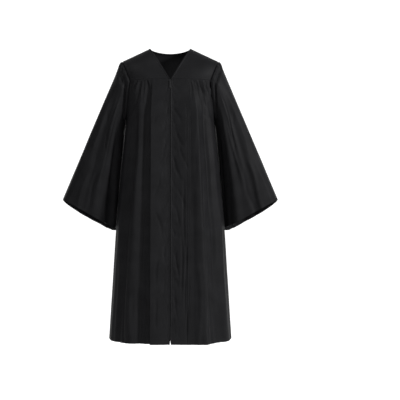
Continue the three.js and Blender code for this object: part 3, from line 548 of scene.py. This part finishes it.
def stitch_piece(name, lines, material):
    points, faces, count = [], [], 0
    for line, normals in lines:
        if len(line) < 2:
            continue
        new_points, new_faces = stitch_boxes(line, normals)
        points.append(new_points)
        faces.append(new_faces + count)
        count += len(new_points)
    obj = make_mesh(name, np.concatenate(points), np.concatenate(faces), material)
    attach(obj, BODY)
    return obj


def panel_heights():
    """Heights of the rings of a panel: closest at the yoke and at the hem."""
    below = [-SEAM_TURN, -1.5, 0, 1.2, 2.6, 4.5, 7, 10, 13.5, 17.5, 22, 27, 32, 38, 44, 51, 58]
    top = CORNER_Z - np.array(below)
    middle = np.linspace(CORNER_Z - 65, HEM_Z + 32, 118)
    hem = HEM_Z + np.array([26, 22, 20, 18.5, 17, 15.5, 14, 12, 9, 6, 3, 1, 0])
    return np.concatenate([top, middle, hem])


def panel_z(heights, angles_on_top):
    """Heights of every point of a panel, whose top edge follows the yoke seam."""
    parts = np.abs(body_radius(CORNER_Z, angles_on_top) * np.sin(angles_on_top)) / CORNER_X
    top = mix(SEAM_CENTRE_Z, CORNER_Z, parts) - 0.15
    return mix(top[None, :], HEM_Z, down_part(heights)[:, None])


def hem_sag(z, angle):
    """How much lower than its sides the hem hangs at the front."""
    return HEM_SAG * ramp(-z, *HEM_SAG_GROWS) * (1 - ramp(np.abs(angle), *HEM_SAG_TURN))


def seam_roll(distance):
    """A seamed edge: tucked under beside the seam, then a soft roll."""
    return -SEAM_TUCK * (1 - ramp(distance, 0, 3)) + 0.9 * hump(distance - 7, 6)


def stitch_dip(distance):
    return -0.55 * hump(distance, 2.4)


def lean_out(x, z, side, edge_x, first, second):
    """How far a strip rises from the zip to its outer edge, or on to the right front's ridge."""
    grown = ramp(-z, *LEAN_GROWS)
    if side < 0:
        rise = np.clip((x - LEAN_START_X) / (edge_x - LEAN_START_X), 0, 1) * LEAN_LEFT
        rise[:, first:second] = LEAN_LEFT * np.array(TURN_KEEPS)[None, :]
        rise[:, second:] = 0
        return rise * grown
    ridge = mix(RIDGE_TOP_X, RIDGE_HEM_X, down_part(z))
    part = np.clip((x - LEAN_START_X) / (ridge - LEAN_START_X), 0, 1)
    return LEAN_RIGHT * grown * part ** LEAN_CURVE * (1 - ramp(x, ridge - RIDGE_NEAR, ridge + RIDGE_FAR))


def front_grid(side):
    heights = panel_heights()
    z_side = heights[:, None]
    gap_z, gap = zip(*FRONT_GAP)
    half_gap = np.interp(-heights, -np.array(gap_z), gap)[:, None]
    edge_x = strip_x(z_side)
    near = np.array([0, 0.4, 1.0, 1.8, 3.0, 4.2, 5.2, 6.0, 6.8, 8.2, 10.5])
    inner = np.linspace(13, 59, 22)
    outer = [60.2, 61.1, 62.0, 62.9, 63.8, 65.5, 67.7, 68.6, 69.5, 70.4, 71.3, 73.0, 74.2, STRIP_TOP_X]
    share = np.concatenate([near, inner, outer]) / STRIP_TOP_X
    strip_xs = half_gap + (edge_x - half_gap) * share[None, :]
    strip_angles = angle_at_x(z_side, strip_xs)
    pressed = ramp(-z_side, *PLEAT_GROWS) * (PRESS_RIGHT if side > 0 else 1.0)
    turn_x = edge_x + np.array([p[0] for p in PLEAT_TURN])[None, :]
    turn_angles = angle_at_x(z_side, turn_x)
    behind = angle_at_x(z_side, edge_x + SIDE_BEHIND)
    end = side_angle(z_side)
    side_angles = mix(behind, end, np.linspace(0, 1, 92)[None, :])
    angles = np.concatenate([strip_angles, turn_angles, side_angles], axis=1)
    top = angles[0]
    z = panel_z(heights, top)
    out = np.zeros(z.shape)
    first, second = strip_angles.shape[1], strip_angles.shape[1] + len(PLEAT_TURN)
    out[:, first:second] = np.array([p[1] for p in PLEAT_TURN])[None, :] * pressed
    out[:, second:] = front_out(z[:, second:], side_angles, side, behind, end)
    x = body_radius(z, angles) * np.sin(angles)
    from_seam = z[0][None, :] - z
    quiet = ramp((end - angles) * QUIET_RADIUS, 0, QUIET_EDGE)
    detail = creases_out(CREASES_FRONT + zip_puckers(side), side * x, z) * quiet
    detail += UNDER_YOKE_GAIN * creases_out(CREASES_UNDER_YOKE, side * x, z) * ramp(from_seam, 1, 9)
    detail += puckers_out(side * x, z, 2.0 * side, 0.5) * quiet * ramp(-z, *UNEVEN_GROWS)
    detail[:, first:second] *= TURN_DETAIL
    out += detail + lean_out(x, z, side, edge_x, first, second)
    from_zip = x - half_gap
    column = np.arange(z.shape[1])
    on_strip = column < first
    out += np.where(on_strip, stitch_dip(from_zip - FLY_LINE), 0)
    if side > 0:
        out += FLY_LIP * (1 - ramp(from_zip, *FLY_LIP_END)) * on_strip
        gain = STRIP_LINE_GAIN * ramp(-z, STRIP_LINES_TOP, STRIP_LINES_FULL) * on_strip
        for inset in STRIP_LINES:
            out += gain * stitch_dip(edge_x - inset - x)
    out += seam_roll(from_seam)
    out += stitch_dip(z - HEM_Z - HEM_LINE)
    grid = body_point(z, side * angles, out)
    grid[..., 2] -= hem_sag(z, angles)
    thick = np.where(z < HEM_Z + HEM_LINE, HEM_THICK, CLOTH_THICK)
    thick = np.where((column < EDGE_COLUMNS)[None, :], np.maximum(thick, EDGE_THICK), thick)
    turn = slice(first - 2, second + 1)
    thick[:, turn] = np.minimum(thick[:, turn], TURN_THICK)
    first_rows = slice(2, None)
    strip = slice(0, first)
    lines = [follow_down(grid[first_rows, strip], from_zip[first_rows, strip], FLY_LINE)]
    lines.append(follow(grid[:, strip], z[:, strip] - HEM_Z, HEM_LINE))
    lines.append(follow(grid[:, second:], z[:, second:] - HEM_Z, HEM_LINE))
    if side > 0:
        low = slice(np.searchsorted(-heights, STRIP_LINES_TOP), None)
        for inset in STRIP_LINES:
            lines.append(follow_down(grid[low, strip], (edge_x - x)[low, strip], inset))
    lines = [(line, side * normals) for line, normals in lines]
    if side < 0:
        grid, thick = grid[:, ::-1], thick[:, ::-1]
    return grid, thick, lines


def back_grid():
    heights = panel_heights()
    z_side = heights[:, None]
    end = side_angle(z_side, True)
    part = np.linspace(-1, 1, 210)[None, :]
    angles = np.pi - np.abs(part) * (np.pi - end)
    turned = end - SEAM_TURN / body_radius(z_side, end)
    angles = np.concatenate([turned, angles, turned], axis=1)
    part = np.concatenate([[[-1]], part, [[1]]], axis=1)
    angles = np.where(part < 0, 1, -1) * angles
    z = panel_z(heights, angles[0])
    out = back_out(z, angles, end)
    out[:, [0, -1]] -= SEAM_TUCK
    x = body_radius(z, angles) * np.sin(angles)
    quiet = ramp((np.abs(angles) - end) * QUIET_RADIUS, 0, QUIET_EDGE)
    out += creases_out(CREASES_BACK, x, z) * quiet
    out += puckers_out(x, z, 7.0, 0.6) * quiet * ramp(-z, *UNEVEN_GROWS)
    out += seam_roll(z[0][None, :] - z)
    out += stitch_dip(z - HEM_Z - HEM_LINE)
    thick = np.where(z < HEM_Z + HEM_LINE, HEM_THICK, CLOTH_THICK)
    grid = body_point(z, angles, out)
    return grid, thick, [follow(grid, z - HEM_Z, HEM_LINE)]


def yoke_points(top, seam, turn):
    """A quarter of an ellipse from the level top edge to the upright seam."""
    fall, out = np.cos(turn)[:, None], np.sin(turn)[:, None]
    x = mix(seam[None, :, 0], top[None, :, 0], fall)
    y = mix(top[None, :, 1], seam[None, :, 1], out)
    z = mix(seam[None, :, 2], top[None, :, 2], fall)
    return np.stack([x, y, z], axis=-1)


def yoke_seam(part, start_x, back=False):
    x = mix(start_x, CORNER_X, part)
    z = mix(SEAM_CENTRE_Z, CORNER_Z, x / CORNER_X) + 0.15
    return body_point(z, angle_at_x(z, x, back), 0)


def back_yoke_top(part):
    turn = np.pi / 2 * np.minimum(part / NECK_PART, 1)
    along = np.clip((part - NECK_PART) / (1 - NECK_PART), 0, 1)
    x = np.where(part < NECK_PART, NECK_HALF * np.sin(turn), mix(NECK_HALF, SHOULDER_X, along))
    y = (NAPE_Y - 0.15) * np.cos(turn) + 0.15
    z = np.where(part < NECK_PART, NAPE_Z * np.cos(turn) ** 2, SHOULDER_Z * along)
    return np.stack([x, y, z], axis=-1)


def front_yoke_smooth(turn, part):
    x, z = mix(NECK_HALF, SHOULDER_X, part), mix(0, SHOULDER_Z, part)
    along = np.stack([x, part * 0 - 0.15, z], axis=-1)
    return yoke_points(along, yoke_seam(part, FRONT_GAP[0][1] - 1), turn)


def lengths(grid):
    """How much cloth of a grid is above and below each of its points."""
    step = np.linalg.norm(np.diff(grid, axis=0), axis=-1)
    none = np.zeros((1, grid.shape[1]))
    above = np.concatenate([none, np.cumsum(step, axis=0)])
    return above, np.concatenate([np.cumsum(step[::-1], axis=0)[::-1], none])


def yoke_lip(below):
    """The turned and stitched lower edge of a yoke."""
    return LIP_HIGH * (1 - ramp(below, 6, 12)) * ramp(below, -0.5, 1.0) + stitch_dip(below - YOKE_LINE)


def neck_lip(inward):
    """The turned and stitched edge of the neck."""
    return LIP_HIGH * (1 - ramp(inward, 3.5, 6.5)) * ramp(inward, -0.5, 0.8) + stitch_dip(inward - NECK_LINE)


def yoke_detail(grid, seed):
    """Seams, stitch lines and soft drag of a yoke, as distances out of its smooth form."""
    _, below = lengths(grid)
    wide = np.linalg.norm(np.diff(grid, axis=1), axis=-1)
    inward = np.concatenate([np.zeros((grid.shape[0], 1)), np.cumsum(wide, axis=1)], axis=1)
    out = yoke_lip(below)
    out += puckers_out(grid[..., 0] * 1.3, grid[..., 2] * 2, seed, 0.35)
    from_armhole = inward[:, -1:] - inward
    out += seam_roll(from_armhole) * LIP_HIGH
    out += neck_lip(inward)
    return out, below, inward


def front_yoke_grid(side):
    turn = np.pi / 2 * np.concatenate([np.linspace(0, 0.9, 46), np.linspace(0.91, 1, 16)])
    part = np.concatenate([np.linspace(0, 0.08, 12), np.linspace(0.1, 0.93, 44), np.linspace(0.94, 1, 10)])
    grid = front_yoke_smooth(turn, part)
    normal = grid_normals(grid, False)
    out, below, inward = yoke_detail(grid, side)
    grid = grid + normal * out[..., None]
    lines = [follow(grid, below, YOKE_LINE), follow_down(grid, inward, NECK_LINE)]
    lines[1] = (lines[1][0], -lines[1][1])
    mirror = np.array([side, 1, 1])
    lines = [(line * mirror, normals * mirror) for line, normals in lines]
    if side < 0:
        grid = grid[:, ::-1] * mirror
    return grid, np.full(grid.shape[:2], CLOTH_THICK + 0.3), lines


def back_yoke_grid():
    steps = [np.linspace(0, 0.06, 8), np.linspace(0.08, 0.92, 40), np.linspace(0.93, 1, 12)]
    turn = np.pi / 2 * np.concatenate(steps)
    half = np.concatenate([np.linspace(0, 0.94, 60), np.linspace(0.95, 1, 8)])
    right = yoke_points(back_yoke_top(half), yoke_seam(half, 0, True), turn)
    left = right[:, ::-1] * np.array([-1, 1, 1])
    grid = np.concatenate([right[:, :0:-1], left[:, ::-1]], axis=1)
    normal = grid_normals(grid, False)
    above, below = lengths(grid)
    out = yoke_lip(below)
    out += puckers_out(grid[..., 0], grid[..., 2] * 2, 3.0, 0.4)
    on_neck = np.abs(grid[0, :, 0]) < NECK_HALF - 0.5
    out += np.where(on_neck[None, :], neck_lip(above), 0)
    grid = grid + normal * out[..., None]
    lines = [follow(grid, below, YOKE_LINE), follow(grid[:, on_neck], above[:, on_neck], NECK_LINE)]
    turned = np.where(on_neck[:, None], np.array((0, -0.3, -0.6)), np.array((0, -SEAM_TURN, -SEAM_TUCK)))
    grid = np.concatenate([(grid[0] + turned)[None], grid])
    return grid, np.full(grid.shape[:2], CLOTH_THICK + 0.3), lines


def cuff_point(place):
    middle, along = (CUFF_OUTER + CUFF_INNER) / 2, (CUFF_OUTER - CUFF_INNER) / 2
    c, s = np.cos(2 * np.pi * place), np.sin(2 * np.pi * place)
    r = (np.abs(c) ** CUFF_SQUARE + np.abs(s) ** CUFF_SQUARE) ** (-1 / CUFF_SQUARE)
    front = np.array((0, -CUFF_DEPTH, CUFF_TILT))
    points = middle + along * (r * c)[:, None] + front * (r * s)[:, None]
    points[:, 2] -= CUFF_SAG * np.abs(r * s) * (1 - CUFF_SKEW * r * c)
    return points


def armhole_half(back):
    """Half of the right armhole, from the shoulder to the underarm, as closely spaced points."""
    turn = np.pi / 2 * np.linspace(0, 1, 40)
    z = np.linspace(CORNER_Z, UNDERARM_Z, 60)
    one = np.array([1.0])
    if back:
        yoke = yoke_points(back_yoke_top(one), yoke_seam(one, 0, True), turn)[:, 0]
    else:
        yoke = front_yoke_smooth(turn, one)[:, 0]
    edge = side_angle(z, back)
    panel = body_point(mix(CORNER_Z - 0.15, UNDERARM_Z, (CORNER_Z - z) / (CORNER_Z - UNDERARM_Z)), edge, 0)
    line = np.concatenate([yoke, panel])
    length = np.concatenate([[0], np.cumsum(np.linalg.norm(np.diff(line, axis=0), axis=1))])
    return line, length / length[-1]


def armhole_points(place):
    from_top = 2 * np.minimum(place, 1 - place)
    points = np.empty((len(place), 3))
    for back in (False, True):
        line, share = armhole_half(back)
        pick = place > 0.5 if back else place <= 0.5
        for axis in range(3):
            points[pick, axis] = np.interp(from_top[pick], share, line[:, axis])
    return points


def sleeve_lines(place):
    """Smooth curves from the armhole to the cuff, one for each place, as 80 points each."""
    from_top = np.minimum(place, 1 - place)
    level = np.sin(2 * np.pi * from_top) ** 2
    near_top = from_top < 0.25
    reach = mix(np.where(near_top, LEAVE_TOP[0], LEAVE_UNDER[0]), LEAVE_FRONT[0], level)
    fall = mix(np.where(near_top, LEAVE_TOP[1], LEAVE_UNDER[1]), LEAVE_FRONT[1], level)
    to_back = LEAVE_TO_BACK * ramp(from_top, 0.3, 0.5)
    out = np.stack([np.ones(len(place)), to_back, -fall], axis=-1)
    out /= np.linalg.norm(out, axis=1, keepdims=True)
    start = armhole_points(place) + np.array((0.3, 0, 0))
    cuff = cuff_point(place)
    first = start + out * reach[:, None]
    second = (start + cuff) / 2 + out * (0.4 * reach)[:, None]
    t = (np.linspace(0, 1, 80) ** 1.3)[:, None, None]
    return (1 - t) ** 3 * start + 3 * (1 - t) ** 2 * t * first + 3 * (1 - t) * t * t * second + t ** 3 * cuff


def armhole_height(angle):
    """Height of the armhole's edge at an angle on the right side."""
    heights = np.linspace(CORNER_Z, UNDERARM_Z, 80)
    front = np.interp(angle, side_angle(heights), heights)
    back = np.interp(-angle, -side_angle(heights, True), heights)
    return np.where(angle > np.pi / 2, back, front)


def clear_of_body(points, gone, side, hold=None):
    """Moves points of a sleeve out of the body's cloth, and then clear of it further down."""
    angle = np.arctan2(points[..., 0], -points[..., 1])
    gap = mix(0.4, SLEEVE_CLEARANCE, ramp(gone, 0, SLEEVE_CLEAR_BY))
    low = points[..., 2] <= armhole_height(angle) + 1.6
    near = np.hypot(points[..., 0], points[..., 1]) < NEAR_BODY
    pick = low & near
    z, a = points[pick][:, 2], angle[pick]
    extra = 1.5 * ramp(gone[pick], 10, 60)
    least = body_radius(z, a) + cloth_out(z, a, side) + gap[pick] + extra
    r = np.hypot(points[pick][:, 0], points[pick][:, 1])
    hug = hold[pick] if hold is not None else 0
    reach = np.maximum(least, r)
    beyond = np.clip((reach - least) / HUG_REACH, 0, 1)
    reach = mix(reach, least + 1.5, hug * (1 - beyond ** 2))
    scale = reach / r
    moved = points.copy()
    moved[pick, 0] *= scale
    moved[pick, 1] *= scale
    return moved


def sleeve_out(place, gone, along, side):
    folds = SLEEVE_FOLDS_LEFT if side < 0 else SLEEVE_FOLDS_RIGHT
    from_top = np.minimum(place, 1 - place)
    puff = PUFF * (gone / PUFF_AT) * np.exp(1 - gone / PUFF_AT)
    out = puff * (1 - ramp(from_top, 0.18, 0.42))
    groove = ramp(from_top, 0.03, 0.14) * (1 - ramp(from_top, 0.36, 0.47))
    at, half, depth = GROOVE_LEFT if side < 0 else GROOVE_RIGHT
    out -= depth * groove * hump(gone - at, half)
    around = mix(SLEEVE_ROUND_TOP, SLEEVE_ROUND_CUFF, along)
    for top, cuff, half, depth in folds:
        off = (place - mix(top, cuff, along)) * around
        out += depth * ramp(gone, 25, 230) * hump(off, half)
    for at, half, length, depth in CAP_GATHERS:
        off = (np.mod(place - at + 0.5, 1) - 0.5) * SLEEVE_ROUND_TOP
        fade = ramp(gone, 0, 7) * (1 - ramp(gone, length * 0.3, length))
        out += CAP_GAIN * depth * fade * hump(off, half)
    flip = 1 if side > 0 else LEFT_CREASE_SHIFT
    for place0, along0, place1, along1, half, depth in SLEEVE_CREASES:
        t = (along - along0) / (along1 - along0)
        centre = mix(place0, place1, t) * flip + 0.006 * np.sin(7 * t + place0 * 40 + side)
        ends = np.minimum(t, 1 - t) if along1 < 1 else t
        out += CREASE_GAIN * depth * ramp(ends, -0.05, 0.3) * hump((place - centre) * around, half)
    return out


def sleeve_grid(side):
    place = 1 - np.arange(SLEEVE_COLUMNS) / SLEEVE_COLUMNS
    lines = sleeve_lines(place)
    steps = np.linalg.norm(np.diff(lines, axis=0), axis=-1)
    lengths = np.concatenate([np.zeros((1, len(place))), np.cumsum(steps, axis=0)])
    near = np.array([0, 1, 2.2, 3.8, 6, 8.5, 11.5, 15, 19, 23, 27, 31, 35, 40, 46, 53, 61])
    at_cuff = [0.963, 0.97, 0.975, 0.979, 0.983, 0.988, 0.993, 0.998, 1.0]
    far = np.concatenate([np.linspace(0.02, 0.955, 78), at_cuff])
    gone = np.empty((len(near) + len(far), len(place)))
    smooth = np.empty(gone.shape + (3,))
    for j in range(len(place)):
        total = lengths[-1, j]
        gone[:, j] = np.concatenate([near, near[-1] + (total - near[-1]) * far])
        for axis in range(3):
            smooth[:, j, axis] = np.interp(gone[:, j], lengths[:, j], lines[:, j, axis])
    along = gone / lengths[-1][None, :]
    from_top = np.minimum(place, 1 - place)[None, :]
    hold = ramp(from_top, 0.37, 0.46) * ramp(gone, 0, 12) * (1 - ramp(along, 0.75, 1))
    smooth = clear_of_body(smooth, gone, side, hold)
    out = sleeve_out(place[None, :], gone, along, side)
    out = out + puckers_out(place[None, :] * 700, gone, 5.0 + side, 0.5) * ramp(gone, 10, 60)
    from_cuff = lengths[-1][None, :] - gone
    out = out + stitch_dip(from_cuff - CUFF_LINE) - SEAM_TUCK * (1 - ramp(gone, 0, 2.5))
    grid = smooth + grid_normals(smooth, True) * out[..., None]
    grid = clear_of_body(grid, gone, side)
    thick = np.where(from_cuff < CUFF_LINE, HEM_THICK * 0.9, CLOTH_THICK)
    mirror = np.array([side, 1, 1])
    lines = [follow(grid, from_cuff, CUFF_LINE)]
    lines = [(line * mirror, normals * mirror) for line, normals in lines]
    inward = np.array((0, 0, -200.0)) - grid[0] * np.array((0, 1, 1))
    inward /= np.linalg.norm(inward, axis=1, keepdims=True)
    turned = grid[0] + inward * (SEAM_TUCK + 0.4) - np.array((SEAM_TURN, 0, 0))
    grid = np.concatenate([turned[None], grid])
    thick = np.concatenate([thick[:1], thick])
    if side < 0:
        grid, thick = grid[:, ::-1] * mirror, thick[:, ::-1]
    return grid, thick, lines


def zip_teeth(side):
    """One side of the closed zip's teeth, as rounded blocks that reach past the middle."""
    z = np.arange(TEETH_TOP, TEETH_END, -TOOTH_PITCH) - (TOOTH_PITCH / 2 if side > 0 else 0)
    y = TOOTH_BACK - body_radius(z, 0.0)
    corners = []
    for back, part in ((-TOOTH_DEPTH, 0.7), (0.0, 1.0), (TOOTH_DEPTH, 1.0)):
        for x, up in ((-TOOTH_OVER, -1), (TOOTH_OUT, -1), (TOOTH_OUT, 1), (-TOOTH_OVER, 1)):
            high = z + up * part * TOOTH_HIGH / 2
            corners.append(np.stack([side * (x * part + 0 * z), y + back, high], axis=-1))
    points = np.stack(corners, axis=1).reshape(-1, 3)
    quads = [(3, 2, 1, 0), (8, 9, 10, 11)]
    for level in (0, 4):
        for k in range(4):
            after = level + (k + 1) % 4
            quads.append((level + k, after, after + 4, level + 4 + k))
    faces = np.array(quads)[None] + 12 * np.arange(len(z))[:, None, None]
    faces = faces.reshape(-1, 4)
    return points, faces if side > 0 else faces[:, ::-1]


def node_tree(name):
    material = bpy.data.materials.new(name)
    material.use_nodes = True
    nodes, links = material.node_tree.nodes, material.node_tree.links
    return material, nodes, links, nodes["Principled BSDF"]


def add_noise(nodes, links, scale, detail, vector=None):
    noise = nodes.new("ShaderNodeTexNoise")
    noise.inputs["Scale"].default_value = scale
    noise.inputs["Detail"].default_value = detail
    if vector is not None:
        links.new(vector, noise.inputs["Vector"])
    return noise.outputs["Fac"]


def add_colours(nodes, links, value, colours, places, shader):
    """The base colour: from the first to the second colour, between two values."""
    blend = nodes.new("ShaderNodeValToRGB")
    for element, colour, place in zip(blend.color_ramp.elements, colours, places):
        element.position = place
        element.color = (*colour, 1)
    links.new(value, blend.inputs["Fac"])
    links.new(blend.outputs["Color"], shader.inputs["Base Color"])


def add_range(nodes, links, value, least, most, socket):
    spread = nodes.new("ShaderNodeMapRange")
    spread.inputs["To Min"].default_value = least
    spread.inputs["To Max"].default_value = most
    links.new(value, spread.inputs["Value"])
    links.new(spread.outputs["Result"], socket)
    return spread


def add_bump(nodes, links, height, strength, distance):
    bump = nodes.new("ShaderNodeBump")
    bump.inputs["Strength"].default_value = strength
    bump.inputs["Distance"].default_value = distance
    links.new(height, bump.inputs["Height"])
    return bump


def cloth_material(name, colours, sheen=0.0):
    """Matt woven polyester: a fine twill, faint slubs, and slow changes of tone."""
    material, nodes, links, shader = node_tree(name)
    uv = nodes.new("ShaderNodeUVMap")
    uv.uv_map = "cloth"
    place = uv.outputs["UV"]
    add_colours(nodes, links, add_noise(nodes, links, 14, 5, place), colours, (0.3, 0.72), shader)
    weave = nodes.new("ShaderNodeTexWave")
    weave.wave_type = "BANDS"
    weave.bands_direction = "DIAGONAL"
    weave.inputs["Scale"].default_value = 420
    weave.inputs["Distortion"].default_value = 1.2
    weave.inputs["Detail"].default_value = 2
    links.new(place, weave.inputs["Vector"])
    slub = add_noise(nodes, links, 160, 6, place)
    add_range(nodes, links, slub, *CLOTH_ROUGHNESS, shader.inputs["Roughness"])
    fine = add_bump(nodes, links, weave.outputs["Fac"], 0.12, 0.0002)
    soft = add_bump(nodes, links, slub, 0.35, 0.0012)
    links.new(fine.outputs["Normal"], soft.inputs["Normal"])
    links.new(soft.outputs["Normal"], shader.inputs["Normal"])
    shader.inputs["Specular IOR Level"].default_value = CLOTH_SPECULAR
    shader.inputs["Sheen Weight"].default_value = sheen
    shader.inputs["Sheen Roughness"].default_value = 0.45
    return material


def metal_material():
    """Black lacquered metal, a little worn in fine patches."""
    material, nodes, links, shader = node_tree("zip_metal_look")
    where = nodes.new("ShaderNodeTexCoord")
    wear = add_noise(nodes, links, 900, 4, where.outputs["Object"])
    add_colours(nodes, links, wear, METAL_COLOURS, (0.45, 0.8), shader)
    add_range(nodes, links, wear, *METAL_ROUGHNESS, shader.inputs["Roughness"])
    shader.inputs["Metallic"].default_value = 0.8
    return material


def stage_material():
    material, nodes, links, shader = node_tree("pale_paper")
    add_colours(nodes, links, add_noise(nodes, links, 3, 2), STAGE_COLOURS, (0, 1), shader)
    shader.inputs["Roughness"].default_value = 0.9
    shader.inputs["Emission Color"].default_value = (1, 1, 1, 1)
    place = nodes.new("ShaderNodeNewGeometry")
    split = nodes.new("ShaderNodeSeparateXYZ")
    links.new(place.outputs["Position"], split.inputs["Vector"])
    strength = shader.inputs["Emission Strength"]
    glow = add_range(nodes, links, split.outputs["Y"], GLOW_LEAST, GLOW_MOST, strength)
    glow.inputs["From Min"].default_value = GLOW_FROM_Y
    glow.inputs["From Max"].default_value = GLOW_TO_Y
    return material


def make_camera():
    data = bpy.data.cameras.new("camera")
    data.sensor_width = 36
    data.lens = FOCAL_PIXELS / PHOTO_SIZE * 36
    data.shift_x = (PHOTO_SIZE / 2 - AXIS_PIXEL) / PHOTO_SIZE
    camera = bpy.data.objects.new("camera", data)
    camera.location = CAMERA
    camera.rotation_euler = (math.pi / 2, 0, 0)
    bpy.context.scene.collection.objects.link(camera)
    bpy.context.scene.camera = camera


def make_light(name, place, aim, size, watts):
    data = bpy.data.lights.new(name, "AREA")
    data.shape = "DISK"
    data.size = size
    data.energy = watts
    light = bpy.data.objects.new(name, data)
    light.location = place
    way = np.array(aim) - np.array(place)
    flat = math.hypot(way[0], way[1])
    light.rotation_euler = (math.pi / 2 + math.atan2(way[2], flat), 0, math.atan2(-way[0], way[1]))
    bpy.context.scene.collection.objects.link(light)


def make_stage():
    """A pale sheet that is the floor and sweeps up behind the gown."""
    profile = [(STAGE_NEAR, 0), (STAGE_BEND, 0)]
    for k in range(1, BEND_STEPS + 1):
        turn = math.pi / 2 * k / BEND_STEPS
        across, up = STAGE_RADIUS * math.sin(turn), STAGE_RADIUS * (1 - math.cos(turn))
        profile.append((STAGE_BEND + across, up))
    profile.append((STAGE_BEND + STAGE_RADIUS, STAGE_TOP))
    sides = (-STAGE_HALF, STAGE_HALF)
    points = [(x / MM, y / MM, (FLOOR_Z + z) / MM) for y, z in profile for x in sides]
    faces = [(2 * i, 2 * i + 1, 2 * i + 3, 2 * i + 2) for i in range(len(profile) - 1)]
    make_mesh("studio_floor", points, faces, stage_material())


def make_world():
    world = bpy.data.worlds.new("studio")
    bpy.context.scene.world = world
    world.use_nodes = True
    sky = world.node_tree.nodes["Background"]
    sky.inputs["Color"].default_value = SKY_COLOUR
    sky.inputs["Strength"].default_value = SKY_STRENGTH


bpy.context.scene.view_settings.view_transform = "Standard"
make_camera()
make_stage()
make_world()
for light in LIGHTS:
    make_light(*light)

cloth = cloth_material("black_polyester", CLOTH_COLOURS)
tape_cloth = cloth_material("zip_tape_weave", TAPE_COLOURS, TAPE_SHEEN)
metal = metal_material()
thread = cloth_material("black_thread", THREAD_COLOURS)


def dress(name, made, closed_round=False):
    """Puts a cloth piece with its stitches in place of a node."""
    grid, thick, lines = made
    obj = cloth_piece("cloth_" + name, grid, cloth, thick, closed_round)
    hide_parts(name)
    stitch_piece("stitches_" + name, lines, thread)


for word, side in (("left", -1), ("right", 1)):
    dress("front_" + word, front_grid(side))
    dress("yoke_front_" + word, front_yoke_grid(side))
    dress("sleeve_" + word, sleeve_grid(side), True)
    teeth = make_mesh("zip_teeth_" + word, *zip_teeth(side), tape_cloth, smooth=False)
    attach(teeth, BODY)
dress("back", back_grid())
dress("yoke_back", back_yoke_grid())

looks = {"tape_left": tape_cloth, "tape_right": tape_cloth, "slider": metal, "pull_tab": metal}
for name, look in looks.items():
    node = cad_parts["zip_" + name]
    node.data.materials.clear()
    node.data.materials.append(look)
    if look is metal:
        edges = node.modifiers.new("soft_edges", "BEVEL")
        edges.width = METAL_BEVEL
        edges.segments = 2
